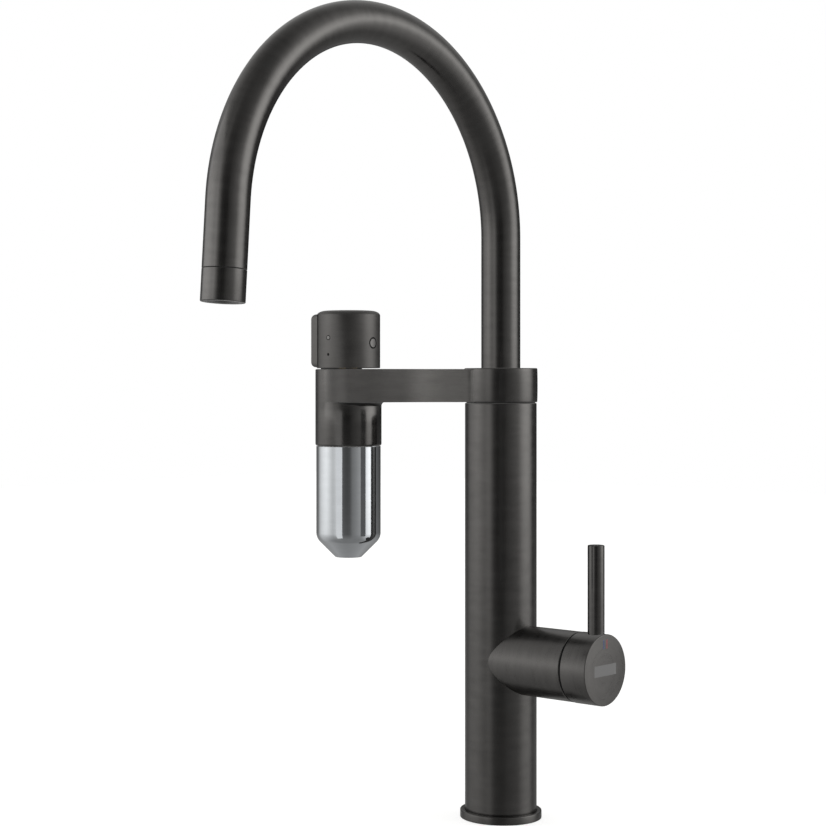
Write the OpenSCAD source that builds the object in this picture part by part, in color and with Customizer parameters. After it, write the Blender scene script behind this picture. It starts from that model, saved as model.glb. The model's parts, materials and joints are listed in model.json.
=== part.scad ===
// Filter kitchen mixer tap with a swivel swan-neck spout, a side lever and a filter capsule on an arm.
// Frame: origin at the centre of the base underside, +Z up, spout towards -Y, lever towards +X.
// All lengths are in millimetres.

/* [Column and base] */
// Outer diameter of the column tube
column_d = 44; // [42.5:0.5:46]
// Wall of the column tube
column_wall = 2; // [1.5:0.1:2.2]
// Height of the column tube's top edge above the deck
column_top = 254.6; // [235:0.2:285]
// Rounding of the column tube's top edge
column_edge_r = 0.7; // [0.3:0.1:1]
// How far the base ring stands out from the column
base_rim = 3; // [2.5:0.1:6]
// Height of the base ring
base_h = 4.9; // [4:0.1:7]
// Rounding of the base ring's top edge
base_edge_r = 0.7; // [0.3:0.1:1.2]
// Thickness of the rubber base gasket
gasket_t = 1.2; // [0.8:0.1:2]
// Width of the rubber base gasket's flat ring
gasket_w = 6.1; // [5:0.1:6.4]
// Height of the foot plug inside the column
foot_h = 26; // [24:0.5:34]
// Bore of the threaded hole for the fixing stud
stud_bore_d = 6.8; // [5:0.1:7.6]
// Depth of the threaded hole for the fixing stud
stud_bore_depth = 18; // [12:0.5:20]
// Bore of each threaded hose inlet
inlet_bore_d = 8.9; // [7.5:0.1:9.2]
// Depth of each threaded hose inlet
inlet_bore_depth = 12; // [9:0.5:14]
// Distance of each supply tube from the column axis, along X and along Y
inlet_offset = 8; // [7.6:0.1:8.4]

/* [Supply tubes] */
// Outer diameter of the hot and cold tubes
supply_d = 8; // [6.4:0.1:8.4]
// Outer diameter of the mixed water tube
mixed_d = 10; // [8:0.1:10.6]
// Outer diameter of the tube that feeds the filter arm
feed_d = 6; // [5:0.1:6.4]
// Wall of the tubes
tube_wall = 0.9; // [0.7:0.1:1.2]

/* [Mixing valve] */
// Height of the valve axis above the deck
valve_z = 98; // [80:1:120]
// Outer diameter of the valve housing
housing_d = 42; // [41:0.25:43]
// Distance of the housing's open end from the column axis
housing_end = 58.5; // [56.5:0.25:64]
// Chamfer of the housing's open end
housing_chamfer = 0.5; // [0.4:0.1:0.8]
// Diameter of the ceramic cartridge
cartridge_d = 34.9; // [33.5:0.1:35.2]
// Distance of the cartridge's back face from the column axis
cartridge_back = 26.5; // [26:0.1:27.2]
// Distance of the lever's pivot pin from the column axis
pivot_x = 43; // [42.7:0.1:43.6]
// Diameter of the pivot pin
pivot_pin_d = 3; // [2.4:0.1:3.4]
// Side of the square cartridge stem
stem_w = 8; // [7:0.1:8.4]
// Distance from the pivot pin to the centre of the stem's ball
ball_reach = 5.4; // [5.1:0.1:5.5]
// Diameter of the stem's ball
ball_d = 3.8; // [3.2:0.1:3.8]

/* [Handle] */
// Diameter of the handle cap
cap_d = 42.3; // [41.8:0.1:43.5]
// Gap between the housing and the handle cap
cap_gap = 1.5; // [1.4:0.1:2]
// Length of the handle cap
cap_len = 17.6; // [17:0.2:20]
// Wall of the handle cap around its hollow back
cap_wall = 1.15; // [1:0.05:1.2]
// Depth of the handle cap's hollow back
cap_hollow = 5.8; // [5.6:0.1:6]
// Chamfer of the handle cap's front edge
cap_chamfer = 0.5; // [0.2:0.1:0.8]
// Diameter of the lever rod
lever_d = 10; // [8:0.2:10.4]
// Height of the lever's end above the valve axis
lever_reach = 73.3; // [50:0.5:100]
// Distance of the lever rod from the cap's front face
lever_set_back = 6.6; // [6.2:0.1:7]
// Width of each temperature mark
mark_w = 1.2; // [0.8:0.1:1.6]
// Height of each temperature mark
mark_h = 5.3; // [3:0.1:7]
// Distance between the temperature marks' centres
mark_pitch = 3.1; // [2.6:0.1:5]
// Height of the marks' centre above the valve axis
mark_rise = 15.3; // [12:0.1:16]
// Width of the plain plate on the cap's face
plate_w = 22; // [14:0.5:26]
// Height of the plain plate on the cap's face
plate_h = 6.6; // [4:0.1:9]

/* [Spout] */
// Outer diameter of the spout tube
spout_d = 24; // [23:0.1:24.4]
// Wall of the spout tube
spout_wall = 1.4; // [1:0.1:1.7]
// Radius of the spout's bend, at the centre of the tube
bend_r = 116.5; // [90:0.5:130]
// Height at which the bend starts
bend_z = 355.6; // [330:0.2:400]
// Angle of the bend
bend_angle = 176; // [165:1:180]
// Straight length between the bend and the nozzle
end_straight = 36.6; // [20:0.2:60]
// Length of the nozzle collar
nozzle_len = 17.2; // [15.5:0.1:22]
// Width of the groove above the nozzle collar
nozzle_groove = 0.4; // [0.3:0.1:0.6]
// Outer diameter of the filtered water tube inside the spout
inner_tube_d = 6; // [5:0.1:7]

/* [Swivel joint] */
// Diameter of the brass neck that the filter arm turns on
neck_d = 36; // [35.4:0.1:36.4]
// Height of the neck above the column's top edge
neck_h = 18; // [17.8:0.1:18.4]
// Thickness of the slip washer under the arm's collar
slip_t = 0.4; // [0.3:0.1:0.6]
// Radial clearance of parts that turn in each other
run_gap = 0.05; // [0.03:0.01:0.08]
// Radial clearance of parts that stay still in each other
fit_gap = 0.02; // [0.01:0.01:0.05]

/* [Filter arm] */
// Direction of the filter arm, counted from +X
arm_angle = 225; // [205:1:245]
// Distance from the column axis to the capsule axis
arm_reach = 93.9; // [86:0.1:115]
// Outer diameter of the arm's collar
collar_d = 45.2; // [44.6:0.1:47]
// Height of the arm's collar
collar_h = 21; // [20.9:0.1:22]
// Crown of the collar's side
collar_crown = 0.15; // [0:0.05:0.3]
// Height of the arm's bar
bar_h = 20.2; // [19.6:0.1:20.6]
// Width of the arm's bar at the collar
waist_w = 24; // [17:0.5:30]
// Outer diameter of the holder above the capsule
holder_d = 40.6; // [40:0.1:42.4]
// How far the holder reaches below the arm's bar
holder_drop = 26.8; // [25.8:0.1:32]
// Rounding of the edges of the arm
arm_edge_r = 0.8; // [0.4:0.1:1]
// Rounding of the holder's lower edge
holder_edge_r = 1.4; // [0.8:0.1:1.6]
// Fillet between the arm's bar and the holder
holder_fillet_r = 1.6; // [0.8:0.1:2.4]
// Diameter of the water channels in the arm and the neck
channel_d = 3.6; // [2.8:0.1:3.8]

/* [Filter valve and knob] */
// Diameter of the filter valve's headwork
headwork_d = 22; // [20.5:0.1:24]
// Diameter of the filter valve's spindle
spindle_d = 8.5; // [7:0.1:9.5]
// Outer diameter of the filter knob
knob_d = 38.9; // [38:0.1:40.4]
// Height of the filter knob
knob_h = 35.5; // [33:0.5:44]
// Gap under the filter knob
knob_gap = 0.5; // [0.3:0.1:0.8]
// Rounding of the knob's top edge
knob_edge_r = 2.6; // [1.5:0.1:3]
// Wall of the knob
knob_wall = 2.4; // [2:0.1:3]
// How far the grip stands out from the knob
grip_out = 3.4; // [2.4:0.1:5]
// Width of the grip where it meets the knob
grip_w = 11; // [8:0.5:14]
// Width of the grip's outer face
grip_tip_w = 3.6; // [2:0.1:7]
// Rounding of the grip's ends
grip_edge_r = 2.6; // [1.5:0.1:2.8]
// Outer diameter of the large ring mark
ring_mark_d = 6.8; // [4:0.1:8]
// Line width of the ring marks
ring_line = 0.7; // [0.4:0.05:0.9]
// Outer diameter of the small ring mark
small_ring_d = 2.4; // [2:0.1:3.5]
// Diameter of the dot marks
dot_d = 1.1; // [0.8:0.1:1.8]

/* [Capsule] */
// Outer diameter of the capsule shell
capsule_d = 39.5; // [38.6:0.1:40.4]
// Length of the capsule shell below the holder
capsule_len = 67.9; // [60:0.1:90]
// Wall of the capsule shell
capsule_wall = 1.2; // [0.8:0.1:1.4]
// Radius of the capsule's flat bottom
capsule_flat_r = 8; // [6:0.5:10]
// Rounding between the capsule's side and its cone
capsule_bend_r = 8; // [4:0.5:9]
// Gap between the capsule shell and the holder
capsule_gap = 0.3; // [0.2:0.1:0.6]
// Height of the capsule's threaded neck
capsule_neck_h = 9.4; // [7:0.1:10]
// Diameter of the filter cartridge
filter_d = 29.8; // [28:0.1:30]
// Diameter of the filter cartridge's spigot
spigot_d = 10; // [8:0.1:11]

/* [Hidden] */
$fn = 64;
// Overrun of cutting shapes
cut = 1;
// Depth at which marks are let into a surface, and how far they stand out
mark_sunk = 0.3;
mark_proud = 0.05;

// Small slack between parts that only locate each other
slack = 0.1;
// Axial play between parts that move past each other
play = 0.2;

// Derived sizes of the column and base
column_r = column_d / 2;
column_in_r = column_r - column_wall;
base_r = column_r + base_rim;
foot_r = column_in_r - fit_gap;
base_lip = 1.3;
gasket_out_r = base_r - base_lip;
gasket_in_r = gasket_out_r - gasket_w;
base_recess_r = gasket_out_r + slack;
supply_r = supply_d / 2;
mixed_r = mixed_d / 2;
feed_r = feed_d / 2;
socket_depth = 6;
supply_z0 = foot_h - socket_depth;

// Derived sizes of the mixing valve
housing_r = housing_d / 2;
cartridge_r = cartridge_d / 2;
bore_r = cartridge_r + slack;
manifold_r = bore_r - fit_gap;
manifold_in_r = column_in_r - play;
port_y = inlet_offset;
port_drop = 7;
outlet_rise = 8;
port_z = valve_z - port_drop;
outlet_z = valve_z + outlet_rise;
port_r = 2.6;
outlet_port_r = 3.2;
port_overrun = 2;
disc_gap = 0.03;
case_base_t = 3;
case_wall = 1.9;
fixed_disc_t = 3.2;
moving_disc_t = 2.8;
carrier_t = 3.4;
fixed_disc_x = cartridge_back + case_base_t;
moving_disc_x = fixed_disc_x + fixed_disc_t + disc_gap;
carrier_x = moving_disc_x + moving_disc_t;
case_cavity_r = cartridge_r - case_wall;
moving_disc_r = 11.4;
moving_disc_rim = 4.4;
carrier_r = 12;
turret_r = 10.5;
turret_flange_r = 13;
turret_back = 3.1;
turret_x = pivot_x - turret_back;
turret_flange_t = 2.2;
case_cavity_end = turret_x + turret_flange_t + play;
case_front = 7.8;
case_end = pivot_x + case_front;
turret_out = 1.2;
turret_end = case_end + turret_out;
ball_x = pivot_x - ball_reach;
ball_r = ball_d / 2;
nut_set_back = 1;
nut_wall_gap = 1.9;
nut_x = case_end;
nut_end = housing_end - nut_set_back;
nut_r = housing_r - nut_wall_gap;
nut_ring = 6.3;
nut_in_r = nut_r - nut_ring;

// Derived sizes of the handle
cap_r = cap_d / 2;
cap_back = housing_end + cap_gap;
cap_front = cap_back + cap_len;
lever_r = lever_d / 2;
lever_x = cap_front - lever_set_back;
lever_shoulder = 2;
lever_stud_r = lever_r - lever_shoulder;
lever_seat_rise = 14.5;
lever_stud_len = 6.5;
lever_seat_z = valve_z + lever_seat_rise;
lever_stud_z = lever_seat_z - lever_stud_len;
stem_cover = 4;
stem_end = cap_front - stem_cover;
stem_gap = 0.05;
grub_r = 2.5;
grub_len = 7;
grub_hex = 2.5;

// Derived sizes of the swivel joint
neck_r = neck_d / 2;
neck_top = column_top + neck_h;
core_depth = 32;
core_z = column_top - core_depth;
spout_r = spout_d / 2;
spout_in_r = spout_r - spout_wall;
tail_depth = 18;
tail_z = column_top - tail_depth;
tail_flange_out = 2;
tail_flange_r = spout_r + tail_flange_out;
tail_flange_t = 4.3;
ring_play = 0.3;
tail_flange_z = neck_top - tail_flange_t - ring_play;
tail_wall = 2.2;
tail_spigot_r = spout_in_r - fit_gap;
tail_spigot_len = 12;
tube_z = tail_flange_z + tail_flange_t;
tail_bore_r = spout_in_r - tail_wall;
cap_ring_t = 3;
cap_ring_out = 1.7;
cap_ring_r = neck_r + cap_ring_out;
ledge_z = neck_top - ring_play;
channel_r = channel_d / 2;
riser_r = channel_r - 0.3;
riser_wall = 0.85;
channel_ring_r = spout_r + run_gap + riser_wall + riser_r;
groove_rise = 5.1;
groove_step = 5.7;
feed_groove_z = column_top + groove_rise;
return_groove_z = feed_groove_z + groove_step;
groove_h = 2.6;
groove_depth = 0.8;
ring_d = 1.6;
ring_r = ring_d / 2;
spigot_core_r = 3;
spigot_core_wall = 1.2;
spigot_core_h = 9;
inner_tube_r = inner_tube_d / 2;
inner_tube_wall = 1;
inner_tube_bore_r = inner_tube_r - inner_tube_wall;
cross_rise = 7;
cross_z = core_z + cross_rise;

// Derived sizes of the filter arm
collar_r = collar_d / 2;
collar_z = column_top + slip_t;
collar_top = collar_z + collar_h;
bar_z = collar_z + play;
bar_top = bar_z + bar_h;
holder_r = holder_d / 2;
holder_z = bar_z - holder_drop;
arm_bore_r = neck_r + run_gap;
waist = waist_w / 2;
channel_side = 4;
headwork_r = headwork_d / 2;
headwork_floor = 1.3;
headwork_z = bar_z + headwork_floor;
holder_wall = 2.1;
cavity_r = holder_r - holder_wall;
cavity_roof = 4.8;
cavity_top = bar_z - cavity_roof;

// Derived sizes of the filter valve and knob
headwork_wall = 3;
headwork_skirt = 1.6;
disc_r = headwork_r - headwork_wall;
headwork_neck_h = 11.6;
headwork_neck_z = headwork_z + headwork_neck_h;
valve_disc_t = 3;
valve_disc_seat = 1.2;
valve_disc_z = headwork_z + valve_disc_seat;
valve_moving_z = valve_disc_z + valve_disc_t + disc_gap;
spindle_flange_z = valve_moving_z + valve_disc_t;
spindle_r = spindle_d / 2;
knob_r = knob_d / 2;
knob_z = bar_top + knob_gap;
knob_top = knob_z + knob_h;
knob_boss_wall = 3;
knob_boss_r = spindle_r + knob_boss_wall;
knob_boss_lift = 5;
spindle_cover = 9;
spindle_top = knob_top - spindle_cover;
ring_rise = 16;
small_ring_rise = 18.7;
dot_rise = 8.6;
side_dot_rise = 10;
ring_z = knob_z + ring_rise;
small_ring_z = knob_z + small_ring_rise;
dot_z = knob_z + dot_rise;
side_dot_z = knob_z + side_dot_rise;

// Derived sizes of the capsule
capsule_r = capsule_d / 2;
capsule_top = holder_z - capsule_gap;
capsule_z = capsule_top - capsule_len;
neck_wall = 1.2;
filter_r = filter_d / 2;
filter_gap = 0.3;
neck_in_r = filter_r + filter_gap;
neck_out_r = neck_in_r + neck_wall;
neck_top_z = capsule_top + capsule_neck_h;
cone_in_r = capsule_flat_r - capsule_wall * (sqrt(2) - 1);
filter_z = capsule_z + capsule_wall + (filter_r - cone_in_r) + filter_gap * sqrt(2);
lid_t = 6;
filter_drop = 14.4;
filter_top = cavity_top - filter_drop;
spigot_r = spigot_d / 2;
spigot_len = 9.4;
spigot_bore_r = 2.4;
socket_t = 4;
socket_wall = 1.1;

// Rounds the outer corner of a profile that lies at (x, z); sx and sz point out of the corner
module corner_cut(x, z, r, sx = 1, sz = 1) {
    translate([x - sx * r, z - sz * r])
        mirror([sx < 0 ? 1 : 0, 0])
            mirror([0, sz < 0 ? 1 : 0])
                difference() {
                    square(r + cut);
                    circle(r);
                }
}

// Flat ring between two radii
module ring_2d(r_out, r_in) {
    difference() {
        circle(r_out);
        circle(r_in);
    }
}

// Upright tube between two heights
module tube(r_out, r_in, z0, z1) {
    translate([0, 0, z0])
        linear_extrude(z1 - z0)
            ring_2d(r_out, r_in);
}

// Upright cylinder between two heights
module rod(r, z0, z1) {
    translate([0, 0, z0])
        cylinder(r = r, h = z1 - z0);
}

// Upright cylinder with a chamfered upper edge
module chamfered_rod(r, z0, z1, chamfer) {
    rod(r, z0, z1 - chamfer);
    translate([0, 0, z1 - chamfer])
        cylinder(r1 = r, r2 = r - chamfer, h = chamfer);
}

// Round-section ring that lies flat at a height
module o_ring(r_mid, r_section, z) {
    translate([0, 0, z])
        rotate_extrude()
            translate([r_mid, 0])
                circle(r_section);
}

// Turns children that stand on Z so that they lie along the valve axis
module on_valve_axis() {
    translate([0, 0, valve_z])
        rotate([0, 90, 0])
            children();
}

// Places children at the holder's axis, with +X pointing away from the column
module at_holder() {
    rotate([0, 0, arm_angle])
        translate([arm_reach, 0, 0])
            children();
}

// Base

module base_ring() {
    color("#2b2a29")
        rotate_extrude()
            difference() {
                translate([column_r + slack, 0])
                    square([base_r - column_r - slack, base_h]);
                translate([0, -cut])
                    square([base_recess_r, gasket_t + cut]);
                corner_cut(base_r, base_h, base_edge_r);
                corner_cut(base_r, 0, base_edge_r / 2, 1, -1);
            }
}

module base_gasket() {
    color("#18181a")
        tube(gasket_out_r, gasket_in_r, 0, gasket_t);
}

// Waterway through the foot plug: threaded inlet below, tube socket above
module foot_waterway(y_side) {
    translate([-inlet_offset, y_side * inlet_offset, 0]) {
        rod(inlet_bore_d / 2, -cut, inlet_bore_depth);
        rod(supply_r - tube_wall, 0, foot_h);
        rod(supply_r + fit_gap, supply_z0, foot_h + cut);
    }
}

module foot_plug() {
    color("#b5933f")
        difference() {
            union() {
                rod(gasket_in_r - play, 0, gasket_t + cut);
                rod(foot_r, gasket_t, foot_h);
            }
            rod(stud_bore_d / 2, -cut, stud_bore_depth);
            foot_waterway(-1);
            foot_waterway(1);
        }
}

module body_column() {
    color("#2e2d2c")
        difference() {
            rotate_extrude()
                difference() {
                    translate([column_in_r, gasket_t])
                        square([column_wall, column_top - gasket_t]);
                    corner_cut(column_r, column_top, column_edge_r);
                }
            on_valve_axis()
                cylinder(r = bore_r, h = column_r + cut);
        }
}

// Supply tube that stands beside the column axis
module inner_tube(x, y, r, z0, z1) {
    color("#c98d4e")
        translate([x, y, 0])
            tube(r, r - tube_wall, z0, z1);
}

supply_drop = 10.5;
supply_z1 = valve_z - supply_drop;

module hot_tube() {
    inner_tube(-inlet_offset, -inlet_offset, supply_r, supply_z0, supply_z1);
}

module cold_tube() {
    inner_tube(-inlet_offset, inlet_offset, supply_r, supply_z0, supply_z1);
}

mixed_x = 7.6;
mixed_rise = 12;
mixed_z0 = valve_z + mixed_rise;
mixed_z1 = core_z + socket_depth;

module mixed_tube() {
    inner_tube(mixed_x, 0, mixed_r, mixed_z0, mixed_z1);
}

// The filter's feed tube stands below the feed channel of the neck
feed_x = -channel_ring_r * sin(45);
feed_y = channel_ring_r * sin(45);
feed_z0 = valve_z + outlet_rise;
feed_z1 = core_z + socket_depth;

module filter_feed_tube() {
    inner_tube(feed_x, feed_y, feed_r, feed_z0, feed_z1);
}

// Mixing valve

module valve_housing() {
    color("#2e2d2c")
        difference() {
            on_valve_axis()
                rotate_extrude()
                    difference() {
                        square([housing_r, housing_end]);
                        translate([0, -cut])
                            square([bore_r, housing_end + 2 * cut]);
                        translate([0, nut_x])
                            square([nut_r + run_gap, housing_end]);
                        polygon([
                            [housing_r - housing_chamfer, housing_end],
                            [housing_r + cut, housing_end - housing_chamfer - cut],
                            [housing_r + cut, housing_end + cut],
                            [housing_r - housing_chamfer, housing_end + cut]
                        ]);
                    }
            rod(column_r + fit_gap, 0, column_top);
        }
}

// Straight waterway along X, at a side offset and a height
module waterway_x(r, x0, x1, y, z) {
    translate([x0, y, z])
        rotate([0, 90, 0])
            cylinder(r = r, h = x1 - x0);
}

module mixing_manifold() {
    color("#b5933f")
        difference() {
            intersection() {
                translate([-manifold_in_r, 0, 0])
                    on_valve_axis()
                        cylinder(r = manifold_r, h = cartridge_back + manifold_in_r);
                union() {
                    rod(manifold_in_r, valve_z - column_r, valve_z + column_r);
                    translate([0, -column_r, valve_z - column_r])
                        cube([cartridge_back + cut, column_d, column_d]);
                }
            }
            for (side = [-1, 1]) {
                waterway_x(port_r, -inlet_offset, cartridge_back + cut, side * port_y, port_z);
                translate([-inlet_offset, side * inlet_offset, 0]) {
                    rod(port_r, supply_z1 - cut, port_z + port_overrun);
                    rod(supply_r + fit_gap, valve_z - column_r, supply_z1);
                }
            }
            waterway_x(outlet_port_r, mixed_x, cartridge_back + cut, 0, outlet_z);
            translate([mixed_x, 0, 0]) {
                rod(outlet_port_r, outlet_z, mixed_z0 + cut);
                rod(mixed_r + fit_gap, mixed_z0, valve_z + column_r);
            }
            translate([feed_x, feed_y, 0]) {
                rod(feed_r - tube_wall, port_z, feed_z0 + cut);
                rod(feed_r + fit_gap, feed_z0, valve_z + column_r);
            }
        }
}

// Cuts the cartridge's three ports along the valve axis
module cartridge_ports(x0, x1, extra = 0) {
    for (side = [-1, 1])
        waterway_x(port_r + extra, x0, x1, side * port_y, port_z);
    waterway_x(outlet_port_r + extra, x0, x1, 0, outlet_z);
}

seal_h = 1.2;
seal_w = 1.3;

module cartridge_case() {
    color("#e6e6e2")
        difference() {
            on_valve_axis()
                rotate_extrude()
                    difference() {
                        translate([0, cartridge_back])
                            square([cartridge_r, case_end - cartridge_back]);
                        translate([0, fixed_disc_x])
                            square([case_cavity_r, case_cavity_end - fixed_disc_x]);
                        translate([0, fixed_disc_x])
                            square([turret_r + run_gap, case_end]);
                    }
            cartridge_ports(cartridge_back - cut, fixed_disc_x + cut);
            cartridge_ports(cartridge_back - cut, cartridge_back + seal_h, seal_w);
        }
}

module port_seals() {
    color("#18181a")
        difference() {
            cartridge_ports(cartridge_back, cartridge_back + seal_h, seal_w - fit_gap);
            cartridge_ports(cartridge_back - cut, cartridge_back + seal_h + cut);
        }
}

module fixed_disc() {
    color("#f2f0ea")
        difference() {
            on_valve_axis()
                rod(case_cavity_r - fit_gap, fixed_disc_x, fixed_disc_x + fixed_disc_t);
            cartridge_ports(fixed_disc_x - cut, fixed_disc_x + fixed_disc_t + cut);
        }
}

module moving_disc() {
    color("#dcdcd8")
        difference() {
            on_valve_axis()
                rod(moving_disc_r, moving_disc_x, carrier_x);
            translate([moving_disc_x - cut, 0, valve_z])
                rotate([0, 90, 0])
                    cylinder(r = moving_disc_r - moving_disc_rim, h = cut + moving_disc_t * 0.6);
        }
}

ball_play = 0.3;
slot_depth_play = 0.7;

module disc_carrier() {
    color("#d9d6cd")
        difference() {
            on_valve_axis()
                rod(carrier_r, carrier_x, carrier_x + carrier_t);
            translate([ball_x - ball_r - ball_play, -ball_r - ball_play, valve_z - ball_r - ball_play])
                cube([carrier_t + ball_d, ball_d + 2 * ball_play, ball_d + 2 * ball_play]);
        }
}

stem_slot_w = stem_w + 2 * play;
turret_slot_down = 8.4;
turret_slot_up = 5.2;

module cartridge_turret() {
    color("#cfcfc9")
        difference() {
            on_valve_axis() {
                rod(turret_flange_r, turret_x, turret_x + turret_flange_t);
                rod(turret_r, turret_x, turret_end);
            }
            translate([turret_x - cut, -stem_slot_w / 2, valve_z - turret_slot_down])
                cube([turret_end, stem_slot_w, turret_slot_down + turret_slot_up]);
            translate([pivot_x, 0, valve_z])
                rotate([90, 0, 0])
                    cylinder(r = pivot_pin_d / 2 + fit_gap, h = 3 * turret_r, center = true);
        }
}

pin_set_back = 0.8;

module pivot_pin() {
    color("#b9bcc0")
        translate([pivot_x, 0, valve_z])
            rotate([90, 0, 0])
                cylinder(r = pivot_pin_d / 2, h = 2 * (turret_r - pin_set_back), center = true);
}

stem_back_wall = 0.9;
stem_start = pivot_x - pivot_pin_d / 2 - stem_back_wall;
ball_neck = 0.6;

module cartridge_stem() {
    color("#b5933f")
        difference() {
            union() {
                translate([stem_start, -stem_w / 2, valve_z - stem_w / 2])
                    cube([stem_end - stem_start, stem_w, stem_w]);
                on_valve_axis()
                    rod(ball_r - ball_neck, ball_x, (stem_start + pivot_x - pivot_pin_d / 2) / 2);
                translate([ball_x, 0, valve_z])
                    sphere(r = ball_r);
            }
            translate([pivot_x, 0, valve_z])
                rotate([90, 0, 0])
                    cylinder(r = pivot_pin_d / 2 + run_gap, h = stem_w * 3, center = true);
        }
}

notch_w = 3;
notch_stop = 1.5;

module cartridge_nut() {
    color("#b5933f")
        difference() {
            on_valve_axis()
                tube(nut_r, nut_in_r, nut_x, nut_end);
            for (turn = [0, 90])
                translate([nut_end, 0, valve_z])
                    rotate([turn, 0, 0])
                        cube([notch_w, notch_w, 2 * (nut_r - notch_stop)], center = true);
        }
}

// Handle

module handle_cap() {
    socket_w = stem_w + 2 * stem_gap;
    color("#2e2d2c")
        difference() {
            on_valve_axis()
                rotate_extrude()
                    difference() {
                        translate([0, cap_back])
                            square([cap_r, cap_len]);
                        translate([0, cap_back - cut])
                            square([cap_r - cap_wall, cap_hollow + cut]);
                        polygon([
                            [cap_r - cap_chamfer, cap_front],
                            [cap_r + cut, cap_front - cap_chamfer - cut],
                            [cap_r + cut, cap_front + cut],
                            [cap_r - cap_chamfer, cap_front + cut]
                        ]);
                    }
            translate([cap_back, -socket_w / 2, valve_z - socket_w / 2])
                cube([stem_end + play - cap_back, socket_w, socket_w]);
            translate([lever_x, 0, 0]) {
                rod(lever_r + fit_gap, lever_seat_z, valve_z + cap_r + cut);
                rod(lever_stud_r + fit_gap, lever_stud_z - play, lever_seat_z + cut);
                rod(grub_r + fit_gap, valve_z - cap_r - cut, valve_z);
            }
            mark_block(-1, 0);
            mark_block(1, 0);
            plate_block(0);
        }
}

lever_chamfer = 0.6;

module handle_lever() {
    color("#2b2a29")
        translate([lever_x, 0, 0]) {
            rod(lever_stud_r, lever_stud_z, lever_seat_z);
            chamfered_rod(lever_r, lever_seat_z, valve_z + lever_reach, lever_chamfer);
        }
}

module handle_grub_screw() {
    screw_top = valve_z - stem_w / 2;
    color("#8f9194")
        translate([lever_x, 0, 0])
            difference() {
                rod(grub_r, screw_top - grub_len, screw_top);
                translate([0, 0, screw_top - grub_len - cut])
                    cylinder(d = grub_hex, h = cut + grub_hex, $fn = 6);
            }
}

// Block of one temperature mark let into the cap's face; side -1 is cold, 1 is hot
module mark_block(side, proud) {
    translate([cap_front - mark_sunk, side * mark_pitch / 2 - mark_w / 2, valve_z + mark_rise - mark_h / 2])
        cube([mark_sunk + (proud > 0 ? proud : cut), mark_w, mark_h]);
}

// Block of the plain plate let into the cap's face
module plate_block(proud) {
    translate([cap_front - mark_sunk, -plate_w / 2, valve_z - plate_h / 2])
        cube([mark_sunk + (proud > 0 ? proud : cut), plate_w, plate_h]);
}

module cold_mark() {
    color("#3a5fb0")
        mark_block(-1, mark_proud);
}

module hot_mark() {
    color("#b03a3a")
        mark_block(1, mark_proud);
}

module face_plate() {
    color("#6f6f70")
        plate_block(mark_proud);
}

// Swivel joint at the top of the column

// Channel that leads up inside the neck and out to a groove; turn is its direction from +X
module neck_channel(turn, z0, z1) {
    rotate([0, 0, turn]) {
        translate([channel_ring_r, 0, 0])
            rod(riser_r, z0, z1);
        translate([channel_ring_r, 0, z1])
            rotate([0, 90, 0])
                cylinder(r = groove_h / 2, h = neck_r);
    }
}

module ring_groove(z, h, depth) {
    tube(neck_r + cut, neck_r - depth, z - h / 2, z + h / 2);
}

seal_heights = [for (i = [-1 : 1]) feed_groove_z + groove_step * (i + 0.5)];

module swivel_core() {
    color("#b5933f")
        difference() {
            union() {
                rod(column_in_r - fit_gap, core_z, column_top);
                rod(neck_r, column_top, neck_top);
            }
            difference() {
                rod(spout_r + run_gap, tail_z, neck_top + cut);
                rod(spigot_core_r, tail_z - cut, tail_z + spigot_core_h);
            }
            rod(tail_flange_r + play, tail_flange_z - play, neck_top + cut);
            // Mixed water port
            translate([mixed_x, 0, 0]) {
                rod(mixed_r - tube_wall, core_z, tail_z + cut);
                rod(mixed_r + fit_gap, core_z - cut, mixed_z1);
            }
            // Filter feed, up to its groove
            translate([feed_x, feed_y, 0])
                rod(feed_r + fit_gap, core_z - cut, feed_z1);
            neck_channel(135, core_z, feed_groove_z);
            ring_groove(feed_groove_z, groove_h, groove_depth);
            // Filtered water, from its groove down and across to the spigot
            neck_channel(arm_angle, cross_z, return_groove_z);
            ring_groove(return_groove_z, groove_h, groove_depth);
            rotate([0, 0, arm_angle])
                translate([0, 0, cross_z])
                    rotate([0, 90, 0])
                        cylinder(r = riser_r, h = channel_ring_r);
            rod(spigot_core_r - spigot_core_wall, cross_z, tail_z + spigot_core_h + cut);
            for (z = seal_heights)
                ring_groove(z, ring_d + play, ring_d);
        }
}

module neck_seals() {
    color("#18181a")
        for (z = seal_heights)
            o_ring(neck_r - ring_r, ring_r - fit_gap, z);
}

module slip_washer() {
    color("#18181a")
        tube(column_r - column_edge_r - play, arm_bore_r, column_top, collar_z);
}

module retaining_ring() {
    color("#b5933f")
        tube(cap_ring_r, spout_r + ring_play, neck_top, neck_top + cap_ring_t);
}

// Spout

// Places children at the end of the bend, with +Z pointing on along the tube
module at_bend_end() {
    translate([0, -bend_r, bend_z])
        rotate([90, 0, 90])
            rotate([0, 0, bend_angle])
                translate([bend_r, 0, 0])
                    rotate([-90, 0, 0])
                        children();
}

// Tube along the spout's path, from a height on the riser to a length past the bend;
// the straight end starts a little inside the bend's wall, so that the two become one solid
module spout_path(r_out, r_in, z0, end_len) {
    tube(r_out, r_in, z0, bend_z);
    translate([0, -bend_r, bend_z])
        rotate([90, 0, 90])
            rotate_extrude(angle = bend_angle)
                translate([bend_r, 0])
                    ring_2d(r_out, r_in);
    at_bend_end()
        tube(r_out - 0.03, r_in + 0.03, -0.8, end_len);
}

nozzle_spigot_len = 9;
nozzle_spigot_r = spout_in_r - fit_gap;

module spout_tube() {
    color("#2e2d2c")
        spout_path(spout_r, spout_in_r, tube_z, end_straight);
}

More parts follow.
